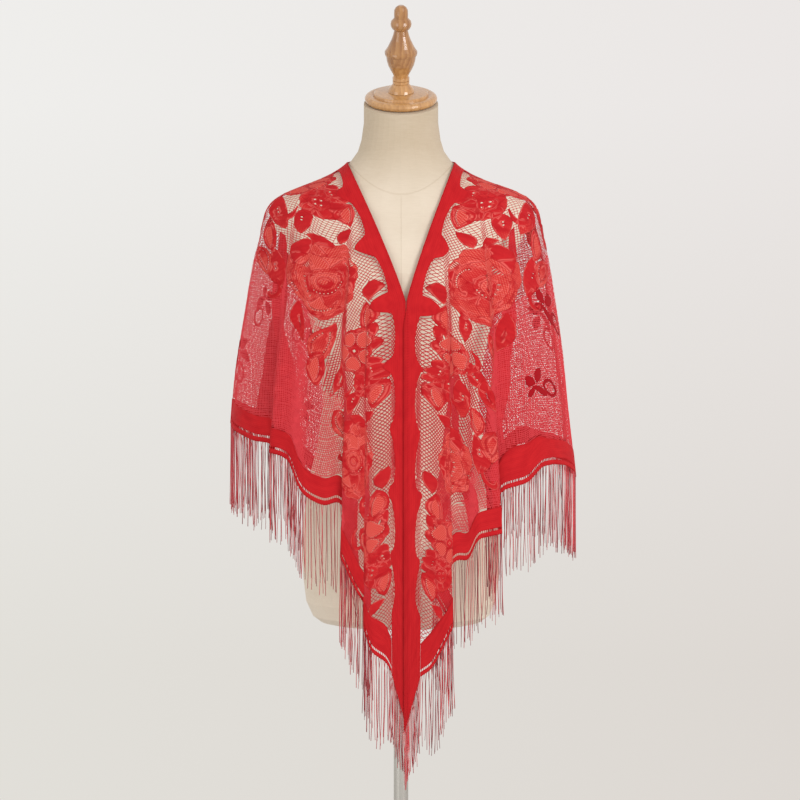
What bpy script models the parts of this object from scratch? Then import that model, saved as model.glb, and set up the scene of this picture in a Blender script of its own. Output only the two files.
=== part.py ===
"""A triangular lace shawl with a fringe, draped round the shoulders of a limbless dress form.

The shawl is one surface. Level rings round the form give its outline from the front, the side and
above. Columns run down that surface from the neck band to the hem, closer together in the pleats.
The lace, the neck band, the hem band and the fringe share the columns' points and the directions
square to them, so that their walls meet along seams of the same width everywhere.

Metres, +Z up, the front towards -Y. The origin is the centre of the base's underside.
"""

import math

import bmesh
import bpy
import numpy as np
from mathutils import Matrix, Vector

MM = 0.001
SEAM = 0.34 * MM  # between two pieces that meet
LEAST_SLANT = 0.3  # sine of the least angle between a seam and the rows that end at it
FINE = 400  # steps in which a line is followed to measure or to cross it

# ---------------------------------------------------------------- the stand
BASE_RADIUS = 160 * MM
BASE_THICK = 8 * MM
BASE_EDGE = 2 * MM
POLE_RADIUS = 10.6 * MM
FORM_BOTTOM = 800 * MM
NECK_TOP = 1555 * MM
NECK_BACK = 8 * MM  # how far the neck's centre lies behind the pole
CAP_TILT = math.radians(21)

# The form's level sections, in millimetres, from the bottom up
FORM_COLUMNS = ("height", "half_width", "front", "back")
FORM = [
    (800, 104, 72, 84),
    (803, 117, 83, 96),
    (812, 129, 93, 107),
    (832, 138, 100, 115),
    (865, 142, 104, 120),
    (905, 144, 105, 121),
    (960, 141, 103, 116),
    (1020, 131, 97, 104),
    (1075, 119, 89, 89),
    (1120, 113, 86, 80),
    (1170, 117, 93, 80),
    (1220, 127, 108, 86),
    (1262, 137, 119, 93),
    (1310, 150, 115, 101),
    (1350, 170, 103, 106),
    (1375, 183, 91, 107),
    (1391, 188, 83, 106),
    (1403, 185, 78, 104),
    (1413, 177, 73, 101),
    (1421, 166, 69, 98),
    (1430, 147, 65, 95),
    (1439, 124, 61, 91),
    (1449, 101, 57, 86),
    (1459, 84, 54, 81),
    (1470, 72, 51, 74),
    (1484, 62, 49, 69),
    (1500, 57, 48, 66),
    (1525, 53.5, 47, 63),
]
FORM_SIDES = 40

# The cap's outline, in millimetres above the neck and out from its axis
TURNED_COLUMNS = ("height", "radius")
CAP = [
    (0, 47.5),
    (1.0, 50.2),
    (3.2, 51.9),
    (6.0, 52.4),
    (8.6, 51.0),
    (10.4, 48.0),
    (11.1, 44.5),
    (10.8, 41.5),
    (10.3, 39.8),
    (13.2, 39.2),
    (14.2, 37.8),
    (15.3, 24.0),
    (15.6, 21.0),
]
CAP_SIDES = 40

# The finial's outline, in millimetres above the cap and out from its axis
FINIAL = [
    (0.3, 19.0),
    (4, 17.9),
    (8.5, 14.6),
    (12, 11.4),
    (12.6, 10.8),
    (13, 12.2),
    (16.9, 12.2),
    (17.3, 11.0),
    (17.7, 12.2),
    (21.4, 12.2),
    (22.4, 10.3),
    (28, 12.6),
    (34, 16.0),
    (40, 18.8),
    (47, 20.7),
    (54, 21.5),
    (54.6, 22.9),
    (57.5, 23.6),
    (60.3, 23.3),
    (62.3, 21.6),
    (67, 18.8),
    (77, 13.9),
    (84, 11.4),
    (90.5, 9.9),
    (92, 10.6),
    (93.4, 12.8),
    (97, 14.6),
    (100.5, 15.1),
    (104.5, 14.1),
    (107.5, 11.2),
    (109, 9.9),
    (115, 10.1),
    (120.5, 9.7),
    (124.4, 7.6),
    (127, 3.8),
]
FINIAL_SIDES = 24

# ---------------------------------------------------------------- the shawl's drape
LACE_WALL = 1.2 * MM
BAND_WALL = 1.6 * MM
FRINGE_WALL = 1.4 * MM
HEM_BAND = 34 * MM
FRINGE_DROP = 120 * MM
TIP_DROP = 90 * MM  # of the fringe at the tip
TIP_HEIGHT = 680 * MM
OPENING = 7 * MM  # where the two fronts meet, to the right of the form's centre
OPENING_GAP = 1.0 * MM

# The cloth's level rings, in millimetres, from the nape down, before it folds
DRAPE_COLUMNS = ("height", "half_width", "front", "back")
DRAPE = [
    (1490, 65, 53, 71),
    (1479, 70, 54, 74),
    (1468, 77, 56, 79),
    (1458, 89, 58.5, 85),
    (1448, 107, 62, 90.5),
    (1438, 131, 66, 95.5),
    (1429, 154, 70, 99.5),
    (1421, 172, 73.5, 102.5),
    (1412, 185, 77.5, 105.5),
    (1400, 194, 83.5, 108.5),
    (1384, 199, 91.5, 111.5),
    (1350, 206, 107.5, 114.5),
    (1310, 214, 119.5, 118),
    (1265, 221, 126, 122),
    (1220, 228, 130, 126),
    (1100, 244, 139, 137),
    (1000, 255, 146, 145),
    (900, 262, 152, 152),
    (650, 272, 160, 160),
]

# The neck band's two long edges. Each starts on the front, "low", where the V ends, passes the
# side of the neck and ends at the nape. "in_front" is its distance from the opening below the V.
NECK_COLUMNS = ("low", "side", "nape", "in_front")
NECK_LINES = [
    (1270, 1468, 1488, 0),  # the edge
    (1268, 1461.5, 1479, 10),  # the middle
    (1266, 1455, 1470, 20),  # the border that meets the lace
]
NECK_BOW = 1.14  # the V's sides bow inwards a little

# The hem as it shows, from the neck band's border out to the side of the shoulder, in millimetres:
# how far across from the form's centre, how high, and how far the fold stands out there
HEM_COLUMNS = ("across", "height", "out")
HEM_LEFT = [
    (13, 751, 0),
    (19, 767, 1),
    (29, 773, 2),
    (43, 783, 5),
    (64, 866, -3),
    (75, 893, 3),
    (96, 988, -5),
    (108, 984, -2),
    (124, 991, 2),
    (138, 1001, 4),
    (147, 1020, 5),
    (154, 1046, 5),
    (168, 1053, 4),
    (178, 1055, 4),
    (195, 1070, -3),
    (208, 1071, 0),
    (229, 1080, 2),
]
HEM_RIGHT = [
    (27, 747, 0),
    (43, 758, 3),
    (62, 796, 5),
    (85, 909, -4),
    (97, 908, 0),
    (104, 938, 3),
    (130, 943, 4),
    (153, 1007, -4),
    (179, 1014, 1),
    (197, 1036, 4),
    (215, 1038, 2),
    (237, 1034, -1),
]
SIDE_LEFT = 1091 * MM  # the hem's height at the side
SIDE_RIGHT = 1013 * MM

# Pleats that lie over on the outside: the edge's place across, the cloth tucked behind it, the
# hem's height at the edge and where the cloth comes out again, and the space between layers
PLEAT_COLUMNS = ("edge", "tuck", "low", "high", "space")
PLEATS_LEFT = [
    (54, 14, 819, 854, 4.5),
    (86, 27, 915, 992, 5),
    (186, 8, 1056, 1069, 3.5),
]
PLEATS_RIGHT = [
    (74, 31, 817, 909, 5),
    (142, 22, 945, 1004, 5),
]
PLEAT_SHARE = 0.15  # of the tucked cloth's width, kept where the pleat has run out above

# The hem behind, from the side of the shoulder to the centre back: degrees round from the front
BACK_COLUMNS = ("around", "height", "out")
BACK_LEFT = [
    (100, 1089, 4),
    (111, 1078, -5),
    (122, 1071, 6),
    (133, 1062, -6),
    (143, 1022, 7),
    (153, 980, -6),
    (163, 944, 7),
    (172, 918, -3),
]
BACK_RIGHT = [
    (101, 1020, -4),
    (112, 1032, 6),
    (123, 1040, -6),
    (134, 1044, 7),
    (144, 1014, -6),
    (154, 975, 6),
    (164, 940, -6),
    (173, 915, 3),
]
BACK_POINT = 905 * MM

FOLD_TOP = 1385 * MM  # where the folds begin
PLEAT_START = 0.3  # the share of a fold's growth after which its cloth lies over
ROWS = 12  # of the lace, from the neck band to the hem band
ROUND_WEIGHT = 60 * MM  # a bend of one radian draws the rows as close as this length
COLUMN_STEP = 19 * MM
OUT_WEIGHT = 0.4  # how much of a fold's depth its cloth keeps as width above the fold

# The whole cloth's rows, from the neck band's edge to the ends of the fringe
LACE_START, HEM_ROW = 2, ROWS + 3
LACE_ROWS = slice(LACE_START, HEM_ROW)
HEM_ROWS = slice(HEM_ROW - 1, HEM_ROW + 1)
FRINGE_ROWS = slice(HEM_ROW, HEM_ROW + 2)

COLOURS = {
    "lace": ((0.52, 0.015, 0.02), 0.75, 0.0),
    "band": ((0.45, 0.012, 0.016), 0.8, 0.0),
    "fringe": ((0.5, 0.014, 0.018), 0.6, 0.0),
    "linen": ((0.62, 0.48, 0.35), 0.85, 0.0),
    "wood": ((0.55, 0.3, 0.13), 0.4, 0.0),
    "steel": ((0.42, 0.4, 0.37), 0.3, 1.0),
}


# ---------------------------------------------------------------- small tools
def columns(rows, names, scale=MM):
    """A table's columns as arrays by name, in metres."""
    values = np.array(rows, float) * scale
    return {name: values[:, i] for i, name in enumerate(names)}


def smooth_curve(xs, ys):
    """A curve through the points that never overshoots them: cubic pieces with limited slopes."""
    order = np.argsort(xs)
    xs, ys = np.asarray(xs, float)[order], np.asarray(ys, float)[order]
    steps = np.diff(xs)
    slopes = np.diff(ys) / steps
    mean = (slopes[1:] * steps[:-1] + slopes[:-1] * steps[1:]) / (steps[1:] + steps[:-1])
    limit = 3 * np.minimum(np.abs(slopes[1:]), np.abs(slopes[:-1]))
    inner = np.where(slopes[1:] * slopes[:-1] > 0, np.clip(mean, -limit, limit), 0)
    tangents = np.concatenate([slopes[:1], inner, slopes[-1:]])

    def value(at):
        at = np.clip(at, xs[0], xs[-1])
        i = np.clip(np.searchsorted(xs, at) - 1, 0, len(steps) - 1)
        h = steps[i]
        k = (at - xs[i]) / h
        rise = (3 - 2 * k) * k * k
        return (
            ys[i] * (1 - rise)
            + ys[i + 1] * rise
            + tangents[i] * h * k * (1 - k) ** 2
            - tangents[i + 1] * h * k * k * (1 - k)
        )

    return value


def rings(rows, names):
    """The half width, front and back of a form at any height."""
    table = columns(rows, names)
    return {name: smooth_curve(table["height"], table[name]) for name in names[1:]}


def eased(share):
    share = np.clip(share, 0, 1)
    return share * share * (3 - 2 * share)


def on_ring(sizes, side, around, height):
    """A point on a level ring. "around" is 0 at the front and a half turn at the back."""
    depth = np.where(np.cos(around) > 0, sizes["front"](height), sizes["back"](height))
    x = side * sizes["half_width"](height) * np.sin(around)
    return np.stack([x, -depth * np.cos(around), height + 0 * x], axis=-1)


def outwards(sizes, side, around, height):
    """The level direction out of a ring at a point."""
    depth = np.where(np.cos(around) > 0, sizes["front"](height), sizes["back"](height))
    x = np.sin(around) / sizes["half_width"](height)
    y = -np.cos(around) / depth
    length = np.hypot(x, y)
    return np.stack([side * x / length, y / length, 0 * x], axis=-1)


# ---------------------------------------------------------------- the drape
CLOTH = rings(DRAPE, DRAPE_COLUMNS)
SIDES = {"left": -1, "right": 1}


def neckline(side, line, along):
    """A long edge of the neck band: 0 to 1 up the V to the side of the neck, 1 to 2 on to the nape."""
    low, level, nape, in_front = (line[name] for name in NECK_COLUMNS)
    start = side * OPENING + OPENING_GAP / 2 + in_front
    share = np.clip(along, 0, 1)
    height = low + (level - low) * share
    reach = start + (CLOTH["half_width"](level) - start) * share**NECK_BOW
    ratio = np.clip(reach / CLOTH["half_width"](height), -1, 1)
    behind = np.clip(along - 1, 0, 1) * math.pi / 2
    around = np.where(along <= 1, np.arcsin(ratio), math.pi / 2 + behind)
    return around, height + (nape - level) * np.sin(behind) ** 2


def pleat_points(pleat):
    """A pleat's tucked cloth in plan, from its edge in behind and out again, as hem rows."""
    edge, tuck, low, high, space = (pleat[name] for name in PLEAT_COLUMNS)
    half = space / 2
    path = [
        (edge - half, space, 0),
        (edge, half, 0),
        (edge - half, 0, 0),
        (edge - tuck + half, 0, 0.5),
        (edge - tuck, -half, 0.5),
        (edge - tuck + half, -space, 0.5),
        (edge + half, -space, 1),
    ]
    return [(across, low + (high - low) * rise, out, True) for across, out, rise in path]


def hem_rows(hem, pleats):
    """The visible hem and the pleats in one list, outwards."""
    rows = []
    waiting = [dict(zip(PLEAT_COLUMNS, row)) for row in pleats]
    for across, height, out in hem:
        while waiting and waiting[0]["edge"] < across:
            rows += pleat_points(waiting.pop(0))
        rows.append((across, height, out, False))
    return rows


def front_columns(side, hem, pleats, side_height):
    """Each front column's place round the form, and where the hem lies there."""
    width = CLOTH["half_width"](side_height)
    rows = hem_rows(hem, pleats)
    rows.append((width / MM, side_height / MM, 0, False))
    tucked = np.array([row[-1] for row in rows])
    table = columns([row[:-1] for row in rows], HEM_COLUMNS)
    across = table["across"]
    steps = np.abs(np.diff(across)) + OUT_WEIGHT * np.abs(np.diff(table["out"]))
    steps *= np.where(tucked[1:] & tucked[:-1], PLEAT_SHARE, 1)
    base = np.concatenate([[0], np.cumsum(steps)])
    base = across[0] + (across[-1] - across[0]) * base / base[-1]
    turn = np.arcsin(np.clip(across / width, -1, 1))
    depth = CLOTH["front"](side_height) * np.cos(turn)
    parts = np.ceil(np.hypot(np.diff(across), np.diff(depth)) / COLUMN_STEP).astype(int)
    at = np.concatenate([i + np.arange(count) / count for i, count in enumerate(parts)] + [[len(parts)]])
    whole = np.arange(len(rows))
    reach = width * np.sin(np.interp(at, whole, turn))
    shift = np.interp(at, whole, across - base)
    height = np.interp(at, whole, table["height"])
    around = np.arcsin(np.clip((reach - shift) / CLOTH["half_width"](height), -1, 1))
    around[-1] = math.pi / 2
    out = np.interp(at, whole, table["out"])
    return {"around": around, "height": height, "out": out, "shift": shift}


def back_columns(rows, side_height):
    """The same for one side of the back, from the side of the shoulder to the centre."""
    table = columns([(90, side_height / MM, 0), *rows, (180, BACK_POINT / MM, 2)], BACK_COLUMNS)
    degrees = table["around"] / MM
    places = np.linspace(90, 180, 2 * len(degrees) - 1)
    height = smooth_curve(degrees, table["height"])(places)
    out = smooth_curve(degrees, table["out"])(places)
    return {"around": np.radians(places), "height": height, "out": out, "shift": 0 * places}


def fall(side, column, height):
    """The cloth's points on one column at the heights given, folds and all."""
    top, low = column["top"], column["height"]
    drop = (top - height) / (top - low)
    around = column["start"] + (column["around"] - column["start"]) * drop
    flat = on_ring(CLOTH, side, around, height)
    grown = eased((FOLD_TOP - height) / (FOLD_TOP - low))
    laid_over = eased((grown - PLEAT_START) / (1 - PLEAT_START))
    out = outwards(CLOTH, side, around, height) * (column["out"] * grown)[:, None]
    out[:, 0] += side * column["shift"] * laid_over
    return flat + out


def row_heights(side, column):
    """Heights for the lace's rows: even along the cloth, closer where it bends."""
    fine = np.linspace(column["top"], column["height"] + HEM_BAND, FINE)
    around = np.full_like(fine, column["around"])
    path = on_ring(CLOTH, side, around, fine)
    steps = np.diff(path, axis=0)
    lengths = np.linalg.norm(steps, axis=1)
    bends = np.zeros(len(lengths))
    ways = steps / lengths[:, None]
    bends[1:] = np.arccos(np.clip((ways[1:] * ways[:-1]).sum(axis=1), -1, 1))
    measure = np.concatenate([[0], np.cumsum(lengths + ROUND_WEIGHT * bends)])
    return np.interp(np.linspace(0, measure[-1], ROWS + 1), measure, fine)


def one_side(side, front, back):
    """One side's points. Columns run from the front border to the centre back; rows from the neck
    band's edge through its middle, the lace and the hem to the ends of the fringe."""
    names = ("around", "height", "out", "shift")
    joined = {name: np.concatenate([front[name], back[name][1:]]) for name in names}
    along = np.linspace(0, 2, FINE)
    edge, middle, border = [dict(zip(NECK_COLUMNS, np.array(row) * MM)) for row in NECK_LINES]
    border_around, border_height = neckline(side, border, along)
    lean = border_around[0] - joined["around"][0]
    start = joined["around"] + lean * np.clip(1 - joined["around"] / (math.pi / 2), 0, 1)
    place = np.interp(start, border_around, along)
    top = np.interp(place, along, border_height)
    lines = [on_ring(CLOTH, side, *neckline(side, line, place)) for line in (edge, middle)]
    grid = []
    for i in range(len(start)):
        column = {name: joined[name][i] for name in names}
        column.update(start=start[i], top=top[i])
        heights = np.append(row_heights(side, column), column["height"])
        cloth = fall(side, column, heights)
        fringe_end = cloth[-1] - (0, 0, FRINGE_DROP)
        grid.append([lines[0][i], lines[1][i], *cloth, fringe_end])
    return np.array(grid)


def facing(grid):
    """The direction square to the cloth at each point."""
    across, down = np.gradient(grid, axis=0), np.gradient(grid, axis=1)
    square = np.cross(across, down)
    return square / np.linalg.norm(square, axis=2, keepdims=True)


def front_strip(side, grid, square):
    """The neck band of one front, from the tip up the opening, then up the V to the side of the neck.
    Returns its points and directions, in rows of three: the edge, the middle and the border."""
    top, low = grid[0, LACE_START, 2], grid[0, HEM_ROW, 2]
    share = (top - grid[0, HEM_ROW:LACE_START:-1, 2]) / (top - low)
    bottom = NECK_LINES[0][0] * MM  # of the V
    height = bottom + (TIP_HEIGHT - bottom) * share
    reach = side * OPENING + OPENING_GAP / 2
    edge = on_ring(CLOTH, side, np.arcsin(reach / CLOTH["half_width"](height)), height)
    border = grid[0, HEM_ROW:LACE_START:-1]
    opening = np.stack([edge, (edge + border) / 2, border], axis=1)
    strip = np.concatenate([opening, grid[:, :3]])
    turned_out = facing(strip)
    turned_out *= np.sign((turned_out[-1, -1] * square[-1, 2]).sum())
    turned_out[: len(opening), 2] = square[0, HEM_ROW:LACE_START:-1]
    turned_out[len(opening) :] = square[:, :3]
    return strip, turned_out


# ---------------------------------------------------------------- solids
def material(name):
    colour, roughness, metallic = COLOURS[name]
    found = bpy.data.materials.get(name)
    if found:
        return found
    made = bpy.data.materials.new(name)
    made.use_nodes = True
    shader = made.node_tree.nodes["Principled BSDF"]
    shader.inputs["Base Color"].default_value = (*colour, 1)
    shader.inputs["Roughness"].default_value = roughness
    shader.inputs["Metallic"].default_value = metallic
    return made


def add_object(name, mesh, finish, sharp=40):
    made = bpy.data.objects.new(name, mesh)
    bpy.context.collection.objects.link(made)
    mesh.materials.append(material(finish))
    mesh.shade_smooth()
    mesh.set_sharp_from_angle(angle=math.radians(sharp))
    return made


ALL_ENDS = ("row_start", "row_end", "column_start", "column_end")


def narrowed(grid, ends):
    """A grid drawn in by half a seam along the sides named: first and last row, first and last column."""
    grid = grid.copy()
    pairs = {
        "row_start": (grid[:, 0], grid[:, 1]),
        "row_end": (grid[:, -1], grid[:, -2]),
        "column_start": (grid[0], grid[1]),
        "column_end": (grid[-1], grid[-2]),
    }
    for end in ends:
        rim, inner = pairs[end]
        way = inner - rim
        way /= np.linalg.norm(way, axis=1, keepdims=True)
        along = np.diff(rim, axis=0)
        along /= np.linalg.norm(along, axis=1, keepdims=True)
        before, after = np.concatenate([along[:1], along]), np.concatenate([along, along[-1:]])
        slants = [np.linalg.norm(np.cross(way, run), axis=1, keepdims=True) for run in (before, after)]
        square = np.minimum(*slants)
        rim += way / np.maximum(square, LEAST_SLANT) * SEAM / 2
    return grid


def wall(name, grid, square, thickness, finish, ends=ALL_ENDS):
    """A closed wall on a grid of points, half its thickness to each side along their directions."""
    middle = narrowed(grid, ends)
    half = square * thickness / 2
    points = np.concatenate([(middle + half).reshape(-1, 3), (middle - half).reshape(-1, 3)])
    count, rows = grid.shape[:2]
    layer = count * rows
    number = np.arange(layer).reshape(count, rows)
    a, b, c, d = number[:-1, :-1], number[:-1, 1:], number[1:, 1:], number[1:, :-1]
    outer = np.concatenate([np.stack(t, axis=-1).reshape(-1, 3) for t in ((a, b, c), (a, c, d))])
    loop = np.concatenate([number[0], number[1:, -1], number[-1, -2::-1], number[-2:0:-1, 0]])
    rim = np.stack([np.roll(loop, -1), loop, loop + layer, np.roll(loop, -1) + layer], axis=-1)
    faces = outer.tolist() + (outer[:, ::-1] + layer).tolist() + rim.tolist()
    first = np.cross(grid[0, 1] - grid[0, 0], grid[1, 1] - grid[0, 0])
    if (first * square[0, 0]).sum() < 0:
        faces = [face[::-1] for face in faces]
    mesh = bpy.data.meshes.new(name)
    mesh.from_pydata(points.tolist(), [], faces)
    return add_object(name, mesh, finish, sharp=80)


def turned(name, profile, sides, finish, place):
    """A solid turned round +Z from an outline of (radius, height), top to bottom."""
    mesh = bpy.data.meshes.new(name)
    bm = bmesh.new()
    loops = []
    for radius, height in profile:
        angles = [2 * math.pi * i / sides for i in range(sides)]
        loops.append([bm.verts.new((radius * math.cos(a), radius * math.sin(a), height)) for a in angles])
    for upper, lower in zip(loops, loops[1:]):
        for i in range(sides):
            j = (i + 1) % sides
            bm.faces.new((upper[i], lower[i], lower[j], upper[j]))
    bm.faces.new(loops[0])
    bm.faces.new(list(reversed(loops[-1])))
    bm.to_mesh(mesh)
    bm.free()
    made = add_object(name, mesh, finish)
    made.matrix_world = place
    return made


# ---------------------------------------------------------------- the pieces
def build_stand():
    upright = Matrix.Identity(4)
    plate = [
        (BASE_RADIUS - BASE_EDGE, BASE_THICK),
        (BASE_RADIUS, BASE_THICK - BASE_EDGE),
        (BASE_RADIUS, 0),
    ]
    turned("base", plate, 48, "steel", upright)
    pole = [(POLE_RADIUS, FORM_BOTTOM - SEAM), (POLE_RADIUS, BASE_THICK + SEAM)]
    turned("pole", pole, 24, "steel", upright)


def build_form():
    """Level rings up to the neck, then rings that lean forward to meet the tilted cap."""
    heights = columns(FORM, FORM_COLUMNS)["height"]
    form = rings(FORM, FORM_COLUMNS)
    angles = np.arange(FORM_SIDES) * 2 * math.pi / FORM_SIDES
    loops = [on_ring(form, 1, angles, np.full(FORM_SIDES, height)) for height in heights]
    top = loops[-1].copy()
    top[:, 2] = NECK_TOP + (top[:, 1] - NECK_BACK) * math.tan(CAP_TILT)
    loops += [(loops[-1] + top) / 2, top]
    bm = bmesh.new()
    made = [[bm.verts.new(point) for point in loop] for loop in loops]
    for lower, upper in zip(made, made[1:]):
        for i in range(FORM_SIDES):
            j = (i + 1) % FORM_SIDES
            bm.faces.new((lower[i], lower[j], upper[j], upper[i]))
    bm.faces.new(made[-1])
    bm.faces.new(list(reversed(made[0])))
    mesh = bpy.data.meshes.new("form_torso")
    bm.to_mesh(mesh)
    bm.free()
    add_object("form_torso", mesh, "linen")


def build_cap_and_finial():
    """The plate and the finial stand square on the neck's leaning top."""
    lean = Matrix.Rotation(CAP_TILT, 4, "X")
    place = Matrix.Translation(Vector((0, NECK_BACK, NECK_TOP))) @ lean
    cap = columns(CAP, TURNED_COLUMNS)
    plate = list(zip(cap["radius"], SEAM + cap["height"]))
    turned("neck_cap", plate[::-1], CAP_SIDES, "wood", place)
    finial = columns(FINIAL, TURNED_COLUMNS)
    outline = list(zip(finial["radius"], finial["height"]))
    seat = place @ Matrix.Translation(Vector((0, 0, SEAM + cap["height"].max())))
    turned("finial", outline[::-1], FINIAL_SIDES, "wood", seat)


def build_front(word, grid, square):
    """One front: lace, neck band, hem band and fringe."""
    wall(f"lace_{word}", grid[:, LACE_ROWS], square[:, LACE_ROWS], LACE_WALL, "lace")
    wall(f"hem_band_{word}", grid[:, HEM_ROWS], square[:, HEM_ROWS], BAND_WALL, "band")
    strip, turned_out = front_strip(SIDES[word], grid, square)
    wall(f"neck_band_{word}", strip, turned_out, BAND_WALL, "band", ALL_ENDS[1:])
    tip = np.stack([strip[:1, 0], strip[:1, 0] - (0, 0, TIP_DROP)], axis=1)
    fringe = np.concatenate([tip, grid[:, FRINGE_ROWS]])
    hanging = np.concatenate([square[:1, FRINGE_ROWS], square[:, FRINGE_ROWS]])
    wall(f"fringe_{word}", fringe, hanging, FRINGE_WALL, "fringe", ("row_start", "column_end"))


def build_back(grid, square):
    """The back runs from side to side through the centre."""
    wall("lace_back", grid[:, LACE_ROWS], square[:, LACE_ROWS], LACE_WALL, "lace")
    wall("hem_band_back", grid[:, HEM_ROWS], square[:, HEM_ROWS], BAND_WALL, "band")
    neck = slice(0, LACE_START + 1)
    wall("neck_band_back", grid[:, neck], square[:, neck], BAND_WALL, "band", ALL_ENDS[1:])
    ends = ("row_start", "column_start", "column_end")
    wall("fringe_back", grid[:, FRINGE_ROWS], square[:, FRINGE_ROWS], FRINGE_WALL, "fringe", ends)


def build_shawl():
    """The whole cloth is laid out once, from front edge to front edge, and cut at both shoulders."""
    front_left = front_columns(SIDES["left"], HEM_LEFT, PLEATS_LEFT, SIDE_LEFT)
    front_right = front_columns(SIDES["right"], HEM_RIGHT, PLEATS_RIGHT, SIDE_RIGHT)
    left = one_side(SIDES["left"], front_left, back_columns(BACK_LEFT, SIDE_LEFT))
    right = one_side(SIDES["right"], front_right, back_columns(BACK_RIGHT, SIDE_RIGHT))
    grid = np.concatenate([left, right[-2::-1]])
    square = facing(grid)
    first, second = len(front_left["around"]), len(front_right["around"])
    build_front("left", grid[:first], square[:first])
    build_front("right", grid[: -second - 1 : -1], square[: -second - 1 : -1])
    build_back(grid[first - 1 : len(grid) - second + 1], square[first - 1 : len(grid) - second + 1])


def build_all():
    for old in list(bpy.data.objects):
        bpy.data.objects.remove(old, do_unlink=True)
    build_stand()
    build_form()
    build_cap_and_finial()
    build_shawl()


build_all()
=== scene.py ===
# %% [markdown]
# # A lace shawl on a dress form
#
# A red triangular shawl of knitted lace hangs round a linen dress form. The form, its wooden cap
# and the stand come from the packed frame and only need a finish. The shawl is the soft part: it
# is made again here, thread by thread, on the same surface that the frame's plain walls follow.

# %% The frame and its box
import math

import bpy
import numpy as np
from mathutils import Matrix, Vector, geometry


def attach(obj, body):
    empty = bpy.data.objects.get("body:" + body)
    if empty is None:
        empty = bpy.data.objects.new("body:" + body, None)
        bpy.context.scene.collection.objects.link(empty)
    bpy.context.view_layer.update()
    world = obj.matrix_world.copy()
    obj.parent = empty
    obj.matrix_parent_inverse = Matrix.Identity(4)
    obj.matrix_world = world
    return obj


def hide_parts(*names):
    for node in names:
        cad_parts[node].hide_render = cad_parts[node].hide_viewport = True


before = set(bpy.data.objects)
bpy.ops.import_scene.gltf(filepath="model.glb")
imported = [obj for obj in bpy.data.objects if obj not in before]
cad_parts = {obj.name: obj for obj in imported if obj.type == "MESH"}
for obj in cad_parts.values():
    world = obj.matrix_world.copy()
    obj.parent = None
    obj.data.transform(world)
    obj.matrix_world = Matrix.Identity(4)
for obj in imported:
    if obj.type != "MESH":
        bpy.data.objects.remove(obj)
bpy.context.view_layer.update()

# %% [markdown]
# ## The camera
#
# A long lens a few metres away keeps the shoulders from bulging. It could stand level with the
# chest. It stands a little higher and looks down by three and a half degrees, because then the
# rings at the hem curve the way that a standing viewer sees them.

# %% The camera
MM = 0.001
PICTURE = 800  # pixels a side
FOCAL_PIXELS = 2487.6
EYE, AIM = Vector((-0.00145, -3.6, 1.35)), Vector((-0.00145, 0, 1.125))
lens = bpy.data.cameras.new("camera")
lens.sensor_width = 36
lens.lens = lens.sensor_width * FOCAL_PIXELS / PICTURE
camera = bpy.data.objects.new("camera", lens)
camera.location = EYE
camera.rotation_euler = (AIM - EYE).to_track_quat("-Z", "Y").to_euler()
bpy.context.collection.objects.link(camera)
bpy.context.scene.camera = camera
print("lens", round(lens.lens, 1), "mm")

# %% [markdown]
# ## Curves through a few measured points
#
# The drape is described by short tables: a level ring at some heights, the hem at some places
# across. A straight line from point to point would show as a polygon, and a free spline swings
# past its points. Cubic pieces with limited slopes do neither.


# %% Curves and rings
def table(names, rows):
    """A table's columns as arrays by name, from millimetres to metres."""
    values = np.array(rows, float) * MM
    return {name: values[:, i] for i, name in enumerate(names)}


def smooth_curve(xs, ys):
    """A function through the points given, with no swing past any of them."""
    order = np.argsort(xs)
    xs, ys = np.asarray(xs, float)[order], np.asarray(ys, float)[order]
    steps = np.diff(xs)
    slopes = np.diff(ys) / steps
    mean = (slopes[1:] * steps[:-1] + slopes[:-1] * steps[1:]) / (steps[1:] + steps[:-1])
    limit = 3 * np.minimum(np.abs(slopes[1:]), np.abs(slopes[:-1]))
    inner = np.where(slopes[1:] * slopes[:-1] > 0, np.clip(mean, -limit, limit), 0)
    tangents = np.concatenate([slopes[:1], inner, slopes[-1:]])

    def value(at):
        at = np.clip(at, xs[0], xs[-1])
        i = np.clip(np.searchsorted(xs, at) - 1, 0, len(steps) - 1)
        h = steps[i]
        k = (at - xs[i]) / h
        rise = (3 - 2 * k) * k * k
        ends = tangents[i] * h * k * (1 - k) ** 2 - tangents[i + 1] * h * k * k * (1 - k)
        return ys[i] * (1 - rise) + ys[i + 1] * rise + ends

    return value


def eased(share):
    """0 to 1, with a soft start and a soft end."""
    share = np.clip(share, 0, 1)
    return share * share * (3 - 2 * share)


DRAPE = table(
    ("height", "half_width", "front", "back"),
    [
        (1490, 65, 53, 71), (1479, 70, 54, 74), (1468, 77, 56, 79), (1458, 89, 58.5, 85),
        (1448, 107, 62, 90.5), (1438, 131, 66, 95.5), (1429, 154, 70, 99.5),
        (1421, 172, 73.5, 102.5), (1412, 185, 77.5, 105.5), (1400, 194, 83.5, 108.5),
        (1384, 199, 91.5, 111.5), (1350, 206, 107.5, 114.5), (1310, 214, 119.5, 118),
        (1265, 221, 126, 122), (1220, 228, 130, 126), (1100, 244, 139, 137),
        (1000, 255, 146, 145), (900, 262, 152, 152), (650, 272, 160, 160),
    ],
)
ring = {
    name: smooth_curve(DRAPE["height"], DRAPE[name]) for name in ("half_width", "front", "back")
}


def depth_of(around, height):
    """How deep a ring is there, from the form's axis: its front and its back differ."""
    return np.where(np.cos(around) > 0, ring["front"](height), ring["back"](height))


def on_ring(side, around, height):
    """A point of the drape before it folds. "around" is 0 in front and half a turn behind."""
    x = side * ring["half_width"](height) * np.sin(around)
    return np.stack([x, -depth_of(around, height) * np.cos(around), height + 0 * x], axis=-1)


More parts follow.
